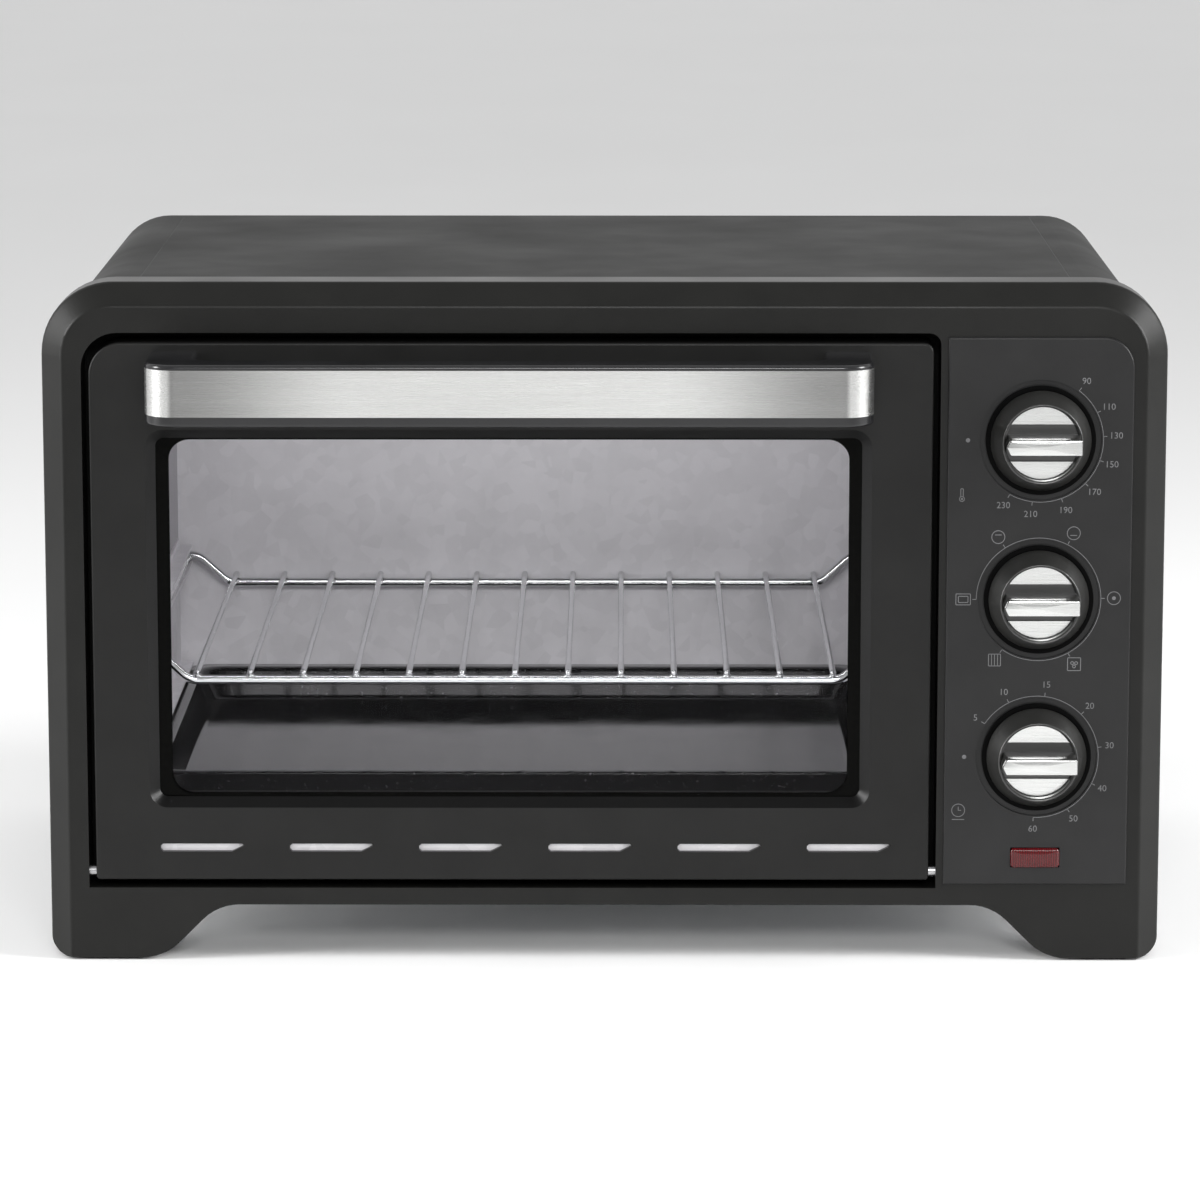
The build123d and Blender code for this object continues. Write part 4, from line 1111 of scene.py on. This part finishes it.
@dataclass
class Knob:
    """One knob: coned skirt, grip bar, bright facing, half discs and a painted shadow ring round its foot.
    """

    control: str
    palette: Palette
    # painted shadow ring round the skirt's foot: its outer radius and height
    shadow_ring_radius: float = 22.7 * MM
    shadow_ring_height: float = 1.6 * MM
    foot_radius: float = 20.8 * MM
    lip_radius: float = 16.4 * MM
    disc_radius: float = 15.4 * MM
    edge: float = 2.2 * MM
    skirt: float = 12.0 * MM
    recess: float = 4.5 * MM
    bar_length: float = 31.4 * MM
    bar_width: float = 6.9 * MM
    nose: float = 1.6 * MM
    facing: float = 0.8 * MM
    web: float = 4.1 * MM

    def __post_init__(self) -> None:
        """Finds the axis and the depths from the CAD knob."""
        low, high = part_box(self.control + "_knob")
        trim_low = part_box(self.control + "_knob_trim")[0]
        self.x, self.z = (low.x + high.x) / 2, (low.z + high.z) / 2
        self.back, self.front = high.y, trim_low.y
        self.rim = self.back - 0.6 * MM - self.skirt
        self.disc = self.rim + self.recess

    def bar_outline(self, inset: float = 0.0) -> np.ndarray:
        """Front view of the bar: blunt point at the left, square at the right.

        Args:
            inset: How far the outline is drawn in.

        Returns:
            Points (x, z).
        """
        half, rise = self.bar_length / 2 - inset, self.bar_width / 2 - inset
        cheek = -half + self.nose
        corners = [(-half, 0), (cheek, -rise), (half, -rise), (half, rise), (cheek, rise)]
        return eased(np.array(corners), 0.7 * MM, 6, True) + np.array([self.x, self.z])

    def body(self) -> list[Shape]:
        """Skirt, turned from an eased profile, and the grip bar that stands in it.

        Returns:
            The two solids.
        """
        foot = self.back - self.edge
        corners = np.array([
            (0.5 * MM, self.back),
            (self.foot_radius - 0.2 * MM, self.back),
            (self.foot_radius, foot),
            (self.lip_radius, self.rim),
            (self.disc_radius, self.rim + 0.5 * MM),
            (self.disc_radius - 0.1 * MM, self.disc + self.facing),
            (0.5 * MM, self.disc + self.facing),
        ])
        skirt = lathe(eased(corners, 0.45 * MM, 6), self.x, self.z, 128)
        back, front = self.disc + 1.5 * MM, self.front + self.facing
        levels = [(0, back), (0, front + 0.6 * MM), (0.1 * MM, front + 0.2 * MM), (0.3 * MM, front)]
        return [skirt, prism(self.bar_outline(), np.array(levels))]

    def trim(self) -> list[Shape]:
        """Half discs above and below the bar, and the bar's bright front.

        Returns:
            The three solids.
        """
        shapes = []
        rise = self.bar_width / 2 + self.web
        radius = self.disc_radius - 0.25 * MM
        start = math.asin(rise / radius)
        angle = np.linspace(start, np.pi - start, 40)
        half = radius * np.stack([np.cos(angle), np.sin(angle)], -1)
        soft = 0.2 * MM
        for side in (1, -1):
            outline = half * np.array([1, side]) + np.array([self.x, self.z])
            middle = np.array([self.x, self.z + side * (rise + radius) / 2])
            levels = np.array([(0, self.disc + self.facing), (0, self.disc + soft), (soft, self.disc)])
            shapes.append(prism(outline, levels, middle))
        front, back = self.front, self.front + self.facing
        steps = [(0.25, front + 0.3 * MM), (0.35, front + 0.1 * MM), (0.6, front)]
        levels = [(0.25 * MM, back), *((inset * MM, y) for inset, y in steps)]
        shapes.append(prism(self.bar_outline(0.1 * MM), np.array(levels)))
        return shapes

    def collar(self) -> Shape:
        """Near-black ring round the skirt's foot, a painted shadow for the gap there: a rectangle with
        eased corners, turned about the axis.

        Returns:
            The closed ring.
        """
        inner, outer = self.foot_radius - 0.6 * MM, self.shadow_ring_radius
        front = self.back - self.shadow_ring_height
        corners = np.array([(inner, self.back), (outer, self.back), (outer, front), (inner, front)])
        profile = eased(corners, 0.3 * MM, 4, True)
        around = circle(1.0, 96)
        r, y = profile[:, 0][:, None], profile[:, 1][:, None]
        across, up = around[None, :, 0], around[None, :, 1]
        grid = np.stack([self.x + r * across, y + 0 * across, self.z + r * up], -1)
        return Patch(grid, True).shape()

    def build(self) -> None:
        """Makes the pieces and rides them on the control's body."""
        rider = self.control + "_control"
        # painted shadow: near-black ring round the knob's foot
        collar = make_piece(self.control + "_knob_collar", [self.collar()], self.palette["collar"], 30)
        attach(collar, rider)
        body = make_piece(self.control + "_knob_moulding", self.body(), self.palette["knob_black"], 30)
        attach(stand_for(body, "knob_black", self.control + "_knob"), rider)
        trim = make_piece(self.control + "_knob_facing", self.trim(), self.palette["knob_silver"], 30)
        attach(stand_for(trim, "knob_silver", self.control + "_knob_trim"), rider)


@dataclass
class Rack:
    """Wire rack: two side wires, two cranked cross wires and the bed wires, with their welds."""

    palette: Palette
    side_radius: float = 2.3 * MM
    cross_radius: float = 2.0 * MM
    bed_radius: float = 1.3 * MM
    level_end: float = 5.0 * MM
    slope: float = 14.0 * MM
    pitch: float = 22.45 * MM
    bend: float = 4.0 * MM

    def __post_init__(self) -> None:
        """Finds the wires' places from the CAD rack."""
        self.low, self.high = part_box("rack_frame")
        self.bed_low, self.bed_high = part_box("rack_wires")
        self.left = self.low.x + self.side_radius
        self.right = self.high.x - self.side_radius
        self.side_z = self.high.z - self.side_radius
        self.cross_z = self.low.z + self.cross_radius
        self.bed_z = self.bed_high.z - self.bed_radius
        self.cross_y = (self.low.y + 1 * MM + self.cross_radius, self.high.y - 1 * MM - self.cross_radius)

    def bed_places(self) -> np.ndarray:
        """X of each bed wire, evenly pitched about the middle."""
        first, last = self.bed_low.x + self.bed_radius, self.bed_high.x - self.bed_radius
        return np.linspace(first, last, int(round((last - first) / self.pitch)) + 1)

    def cross_wire(self, y: float) -> Shape:
        """Cross wire that drops from the side wires to the bed.

        Args:
            y: Its place from front to back.

        Returns:
            The closed solid.
        """
        inner, outer = self.level_end + self.slope, self.level_end
        corners = np.array([
            (self.left, y, self.side_z),
            (self.left + outer, y, self.side_z),
            (self.left + inner, y, self.cross_z),
            (self.right - inner, y, self.cross_z),
            (self.right - outer, y, self.side_z),
            (self.right, y, self.side_z),
        ])
        return tube(eased(corners, self.bend, 8), self.cross_radius, 18, (0, 1, 0))

    def straight(self, x: float, z: float, radius: float, first: float, last: float) -> Shape:
        """Straight wire from front to back with domed ends."""
        y = np.linspace(first + radius, last - radius, 5)
        return tube(np.stack([np.full(5, x), y, np.full(5, z)], -1), radius, 14)

    def weld(self, x: float, y: float, z: float) -> Shape:
        """Small squashed bead where two wires are welded: a turned half ellipse.

        Args:
            x: Bead X.
            y: Bead Y.
            z: Bead Z.

        Returns:
            The closed solid.
        """
        angle = np.linspace(0.2, np.pi - 0.2, 7)
        profile = np.stack([2.0 * MM * np.sin(angle), y - 1.9 * MM * np.cos(angle)], -1)
        bead = lathe(profile, x, z, 12)
        bead.points[:, 2] = z + (bead.points[:, 2] - z) * 0.55
        return bead

    def build(self) -> None:
        """Makes both pieces and rides them on the rack's body."""
        run = (self.side_z, self.side_radius, self.low.y, self.high.y)
        sides = [self.straight(x, *run) for x in (self.left, self.right)]
        crosses = [self.cross_wire(y) for y in self.cross_y]
        piece = make_piece("rack_rim", sides + crosses, self.palette["chrome_wire"], 60)
        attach(stand_for(piece, "chrome_wire", "rack_frame"), "rack")
        shapes = []
        run = (self.bed_z, self.bed_radius, self.bed_low.y, self.bed_high.y)
        for x in self.bed_places().tolist():
            shapes.append(self.straight(x, *run))
            shapes += [self.weld(x, y, self.cross_z + self.cross_radius * 0.9) for y in self.cross_y]
        piece = make_piece("rack_bed", shapes, self.palette["chrome_wire"], 60)
        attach(stand_for(piece, "chrome_wire", "rack_wires"), "rack")


@dataclass
class BakingTray:
    """Pressed tray: rolled rim, sloping walls and a flat floor."""

    palette: Palette
    sheet: float = 1.0 * MM
    rim: float = 7.0 * MM
    lean: float = 6.0 * MM
    radius: float = 14.0 * MM

    def build(self) -> None:
        """Carries the pressed profile round a rounded rectangle.

        The profile runs from the floor's underside out to the rim's edge and back along the
        inside. Its points (inset, z) shrink the rectangle by the inset.
        """
        low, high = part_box("baking_tray")
        half_x, half_y = (high.x - low.x) / 2, (high.y - low.y) / 2
        top, floor = high.z, low.z
        t, foot = self.sheet, self.rim + self.lean
        corners = np.array([
            (foot + 30 * MM, floor),
            (foot, floor),
            (self.rim + 0.4 * MM, top - t),
            (0.6 * MM, top - t),
            (0.0, top - 0.5 * t),
            (0.6 * MM, top),
            (self.rim + t, top),
            (foot + t, floor + t),
            (foot + 30 * MM, floor + t),
        ])
        wide = eased(corners[[5, 6, 7, 8]], 2.2 * MM, 8)
        under = eased(corners[[0, 1, 2, 3]], 2.2 * MM, 8)
        edge = eased(corners[[3, 4, 5]], 0.3 * MM, 5)
        profile = np.vstack([under[:-1], edge, wide[1:]])
        inset = profile[:, 0]
        outline = rounded_rectangle(half_x - inset, half_y - inset, self.radius - inset / 4, 12)
        middle = centre_of("baking_tray")
        flat = outline + np.array([middle.x, middle.y])
        depth = np.broadcast_to(profile[:, 1][:, None, None], flat.shape[:2] + (1,))
        poles = [np.array([middle.x, middle.y, z]) for z in (floor, floor + t)]
        shape = Patch(np.concatenate([flat, depth], -1), False, poles[0], poles[1]).shape()
        piece = make_piece("pressed_tray", [shape], self.palette["black_enamel"], 50)
        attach(stand_for(piece, "black_enamel", "baking_tray"), "tray")


@dataclass
class DoorSprings:
    """Two extension springs: eye on the door's stud, close coil, straight tail to the back."""

    palette: Palette
    wire: float = 0.8 * MM
    coil: float = 3.6 * MM
    turns: int = 14
    coil_front: float = 62.0 * MM
    coil_length: float = 40.0 * MM
    eye: float = 2.4 * MM
    bend_from: float = 60.0 * MM
    bend_to: float = 17.0 * MM

    def path(self, x: float, z: float, stud_y: float, face: float, back: float) -> np.ndarray:
        """Centre line: straight lead, helix whose radius swells and shrinks at its ends, straight tail.

        On the coil the point is (x + r sin a, y, z + r cos a), with r = coil radius times a
        smooth ramp at both ends.

        Args:
            x: Spring X.
            z: Spring Z.
            stud_y: Y where the lead leaves its eye.
            face: Y of the bezel's face.
            back: Y of the tail's end.

        Returns:
            The path's points.
        """
        first, last = face + self.coil_front, face + self.coil_front + self.coil_length
        s = np.linspace(0, 1, self.turns * 20 + 1)
        ramp = np.clip(np.minimum(s, 1 - s) * self.turns * 1.5, 0, 1)
        r = self.coil * ramp * ramp * (3 - 2 * ramp)
        angle = s * self.turns * 2 * np.pi
        helix = np.stack([x + r * np.sin(angle), first + (last - first) * s, z + r * np.cos(angle)], -1)
        lead_y = np.linspace(stud_y, first, 24)[:-1]
        lead = np.stack([np.full(23, x), lead_y, np.full(23, z)], -1)
        tail_y = np.linspace(last, back, 6)[1:]
        tail = np.stack([np.full(5, x), tail_y, np.full(5, z)], -1)
        return np.vstack([lead, helix, tail])

    def build(self) -> None:
        """Makes both springs in place of the CAD springs."""
        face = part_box("door_frame")[0].y
        for side in ("left", "right"):
            node = side + "_door_spring"
            low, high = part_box(node)
            z = (low.z + high.z) / 2
            stud_y = low.y + self.eye + self.wire
            x = self.axis_x(side)
            ring = np.stack([np.full(24, x), *(circle(self.eye, 24) + np.array([stud_y, z])).T], -1)
            path = self.path(x, z, stud_y + self.eye, face, high.y)
            shapes = [tube(ring, self.wire, 8, (1, 0, 0), True)]
            shapes.append(tube(path, self.wire, 8, (0.02, 0.01, 1)))
            piece = make_piece(side + "_coil_spring", shapes, self.palette["spring_steel"], 70)
            stand_for(piece, "spring_steel", node)
            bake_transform(piece)

    def axis_x(self, side: str) -> float:
        """X of a spring: its box runs from the coil's outer wire to the bar's end on the other side."""
        low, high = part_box(side + "_door_spring")
        return (low.x + high.x) / 2


@dataclass
class CrossHeadScrews:
    """Domed screw heads with a cross recess, on the rear panel and the cover's sides."""

    palette: Palette
    radius: float = 3.6 * MM
    slot_half: float = 0.55 * MM
    slot_reach: float = 2.1 * MM
    slot_depth: float = 0.9 * MM
    rear_height: float = 1.8 * MM
    side_height: float = 1.6 * MM

    def head(self, height: float) -> np.ndarray:
        """Points (u, v, w) of a head about its axis, w rising from its seat.

        The dome is w = height (1 - 0.55 (r / R)^2), and the recess takes off its depth times
        the larger of two smooth bars that cross: each is 1 inside its half width and reach and
        falls to 0 over a tenth of a millimetre.

        Args:
            height: Height of the head.

        Returns:
            The points, (rows, columns, 3).
        """
        radii = np.concatenate([np.linspace(0.05, 0.92, 16), [0.97, 1.0, 1.0]]) * self.radius
        around = circle(1.0, 48)
        u, v = radii[:, None] * around[None, :, 0], radii[:, None] * around[None, :, 1]
        r = np.broadcast_to(radii[:, None], u.shape)
        soft = 0.12 * MM

        def bar(a: np.ndarray, b: np.ndarray) -> np.ndarray:
            """Smooth bar, long along a."""
            across = np.clip((self.slot_half - np.abs(b)) / soft + 1, 0, 1)
            return across * np.clip((self.slot_reach - np.abs(a)) / soft + 1, 0, 1)

        dome = height * (1 - 0.55 * (r / self.radius) ** 2)
        w = dome - self.slot_depth * np.maximum(bar(u, v), bar(v, u))
        w[-2] = height * 0.35
        w[-1] = 0.0
        return np.stack([u, v, w], -1)

    def solid(self, seat: Vector, out: Vector, height: float) -> Shape:
        """One head, set on its seat and facing out.

        Args:
            seat: Centre of its seat.
            out: Unit direction of its axis.
            height: Height of the head.

        Returns:
            The closed solid.
        """
        local = self.head(height)
        out_axis = np.array(out)
        side = np.cross(out_axis, (0, 0, 1))
        up = np.cross(side, out_axis)
        flat = local[..., :1] * side + local[..., 1:2] * up
        grid = np.array(seat) + flat + local[..., 2:] * out_axis
        floor = np.array(seat) + (local[0, :, 2].mean()) * out_axis
        return Patch(grid, False, floor, np.array(seat)).shape()

    def places(self, node: str) -> np.ndarray:
        """Boxes of a node's separate screws.

        The first point left and every point within four head radii of it are one screw. They
        are set aside, and the search goes on until no point is left.

        Args:
            node: CAD node of the screws.

        Returns:
            Rows of (low corner, high corner), (screws, 6).
        """
        mesh = frame["nodes"][node].data
        flat = np.zeros(len(mesh.vertices) * 3)
        mesh.vertices.foreach_get("co", flat)
        points = flat.reshape(-1, 3)
        groups: list[np.ndarray] = []
        left = points
        while len(left):
            near = np.linalg.norm(left - left[0], axis=1) < 4 * self.radius
            groups.append(np.concatenate([left[near].min(0), left[near].max(0)]))
            left = left[~near]
        return np.array(groups)

    def build(self) -> None:
        """Makes the rear heads and the side heads."""
        rear = []
        for g in self.places("rear_screws"):
            seat = Vector(((g[0] + g[3]) / 2, g[4] - self.rear_height, (g[2] + g[5]) / 2))
            rear.append(self.solid(seat, Vector((0, 1, 0)), self.rear_height))
        piece = make_piece("rear_screw_heads", rear, self.palette["screw_steel"], 35)
        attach(stand_for(piece, "screw_steel", "rear_screws"), BODY)
        side = []
        for g in self.places("cover_screws"):
            sign = 1.0 if g[0] > 0 else -1.0
            seat = Vector((g[0] if sign > 0 else g[3], (g[1] + g[4]) / 2, (g[2] + g[5]) / 2))
            side.append(self.solid(seat, Vector((sign, 0, 0)), self.side_height))
        piece = make_piece("cover_screw_heads", side, self.palette["screw_steel"], 35)
        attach(stand_for(piece, "screw_steel", "cover_screws"), BODY)


@dataclass
class LampWindow:
    """Red lens: an eased rectangle with a crowned front."""

    palette: Palette
    width: float = 20.4 * MM
    height: float = 8.3 * MM

    def build(self) -> None:
        """Stacks shrinking outlines up the crown: inset grows as the square of the rise."""
        low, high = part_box("indicator_lens")
        x = (low.x + high.x) / 2
        z = low.z + 1 * MM + self.height / 2
        outline = rounded_rectangle(self.width / 2, self.height / 2, 1.6 * MM, 8)[0] + np.array([x, z])
        rise = np.linspace(0, 1, 8)
        crown = np.stack([1.5 * MM * (1 - np.sqrt(1 - rise**2 * 0.96)), low.y + 1.2 * MM * (1 - rise)], -1)
        levels = np.vstack([[(0, high.y - 1.2 * MM)], crown])
        piece = make_piece("lamp_window", [prism(outline, levels)], self.palette["lens_red"], 50)
        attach(stand_for(piece, "lens_red", "indicator_lens"), BODY)


@dataclass
class Studio:
    """Pale floor, soft lights and the camera."""

    camera_place: Triple = (0.007, -2.331, 0.5545)
    pitch: float = 10.33
    yaw: float = 0.004
    lens: float = 161.9
    glow: float = 1.0
    front_level: float = 0.4
    top_level: float = 0.6

    def floor(self) -> None:
        """Large level sheet under the oven: a grid of points at height zero."""
        count = 13
        side = np.linspace(-6, 6, count)
        x, y = np.meshgrid(side, side)
        points = np.stack([x, y, np.zeros_like(x)], -1).reshape(-1, 3)
        index = np.arange(count**2).reshape(count, count)
        quads = np.stack([index[:-1, :-1], index[:-1, 1:], index[1:, 1:], index[1:, :-1]], -1)
        sheet = Shape(points, [tuple(q) for q in quads.reshape(-1, 4).tolist()])
        make_piece("studio_floor", [sheet], PaleFloor("studio_floor").build())

    def light(
        self,
        name: str,
        place: Triple,
        size: Pair,
        power: float,
        spread: float,
        target: Triple = (0, 0, 0.14),
    ) -> None:
        """Rectangular soft light.

        Args:
            name: Light name.
            place: Its centre.
            size: Its width and height.
            power: Watts.
            spread: Angle of its beam in degrees.
            target: Point that it faces.
        """
        data = bpy.data.lights.new(name, "AREA")
        data.spread = math.radians(spread)
        data.shape = "RECTANGLE"
        data.size, data.size_y = size
        data.energy = power
        lamp = bpy.data.objects.new(name, data)
        lamp.location = place
        lamp.rotation_euler = (Vector(target) - Vector(place)).to_track_quat("-Z", "Y").to_euler()
        bpy.context.scene.collection.objects.link(lamp)

    def world(self) -> None:
        """Pale surroundings, dimmer in front and overhead.

        The strength is the product of two eased steps: one from the front level to 1 as the
        direction turns from the front to the sides, and one from 1 to the top level as it rises.
        """
        world = bpy.data.worlds.new("surroundings")
        world.use_nodes = True
        tree = world.node_tree
        shader = tree.nodes["Background"]
        shader.inputs["Color"].default_value = (self.glow, self.glow, self.glow, 1)
        where = tree.nodes.new("ShaderNodeTexCoord")
        axes = tree.nodes.new("ShaderNodeSeparateXYZ")
        tree.links.new(where.outputs["Generated"], axes.inputs[0])
        levels = []
        steps = (("Y", -0.95, -0.3, self.front_level, 1.0), ("Z", 0.3, 0.75, 1.0, self.top_level))
        for axis, first, last, low, high in steps:
            ease = tree.nodes.new("ShaderNodeMapRange")
            ease.interpolation_type = "SMOOTHSTEP"
            for key, value in (("From Min", first), ("From Max", last), ("To Min", low), ("To Max", high)):
                ease.inputs[key].default_value = value
            tree.links.new(axes.outputs[axis], ease.inputs["Value"])
            levels.append(ease.outputs[0])
        both = tree.nodes.new("ShaderNodeMath")
        both.operation = "MULTIPLY"
        for place, level in enumerate(levels):
            tree.links.new(level, both.inputs[place])
        tree.links.new(both.outputs[0], shader.inputs["Strength"])
        bpy.context.scene.world = world

    def camera(self) -> None:
        """Camera at the front, a little above."""
        data = bpy.data.cameras.new("camera")
        data.lens = self.lens
        data.sensor_width = 36.0
        data.clip_start, data.clip_end = 0.05, 50.0
        camera = bpy.data.objects.new("camera", data)
        camera.location = self.camera_place
        camera.rotation_euler = (math.radians(90 - self.pitch), 0, self.yaw)
        bpy.context.scene.collection.objects.link(camera)
        bpy.context.scene.camera = camera

    def build(self) -> None:
        """Sets up floor, surroundings, lights, camera and the plain colour response."""
        self.floor()
        self.world()
        self.camera()
        self.light("right", (2.1, -0.6, 1.05), (0.7, 1.2), 15, 90)
        self.light("left", (-2.1, -0.6, 0.85), (0.7, 1.2), 12, 90)
        self.light("front", (0.2, -2.7, 1.3), (0.9, 0.5), 26, 180)
        low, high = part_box("cavity_shell")
        middle = (low.x + high.x) / 2
        place, target = (middle, low.y + 12 * MM, high.z - 14 * MM), (middle, high.y, high.z - 0.12)
        self.light("cavity", place, (0.28, 0.012), 0.16, 170, target)
        bpy.context.scene.view_settings.view_transform = "Standard"


def main() -> None:
    """Builds the sub-assemblies in order."""
    logging.basicConfig(level=logging.INFO, stream=sys.stdout, format="%(message)s")
    Studio().build()
    palette = Palette()
    CarriedNodes(palette).dress()
    heats = dict(zip((37, 63.5, 86.5, 109, 134, 160, 187, 209), map(str, range(90, 231, 20))))
    minutes = dict(zip((-57, -27, 7, 45.5, 81, 116, 149, 182), map(str, (5, 10, 15, 20, 30, 40, 50, 60))))
    modes = {
        -90.0: Symbol.HOUSING,
        -33.0: Symbol.RING_DASH,
        27.0: Symbol.RING_DASH_LOW,
        89.0: Symbol.RING_DOT,
        151.0: Symbol.FAN,
        215.0: Symbol.GRID,
    }
    DialPrint("thermostat", palette, labels=heats, corner=Symbol.THERMOMETER).build()
    DialPrint("selector", palette, symbols=modes, off_dot=False).build()
    DialPrint("timer", palette, labels=minutes, corner=Symbol.CLOCK).build()
    for control in ("thermostat", "selector", "timer"):
        Knob(control, palette).build()
    Rack(palette).build()
    BakingTray(palette).build()
    DoorSprings(palette).build()
    CrossHeadScrews(palette).build()
    LampWindow(palette).build()


if __name__ == "__main__":
    main()
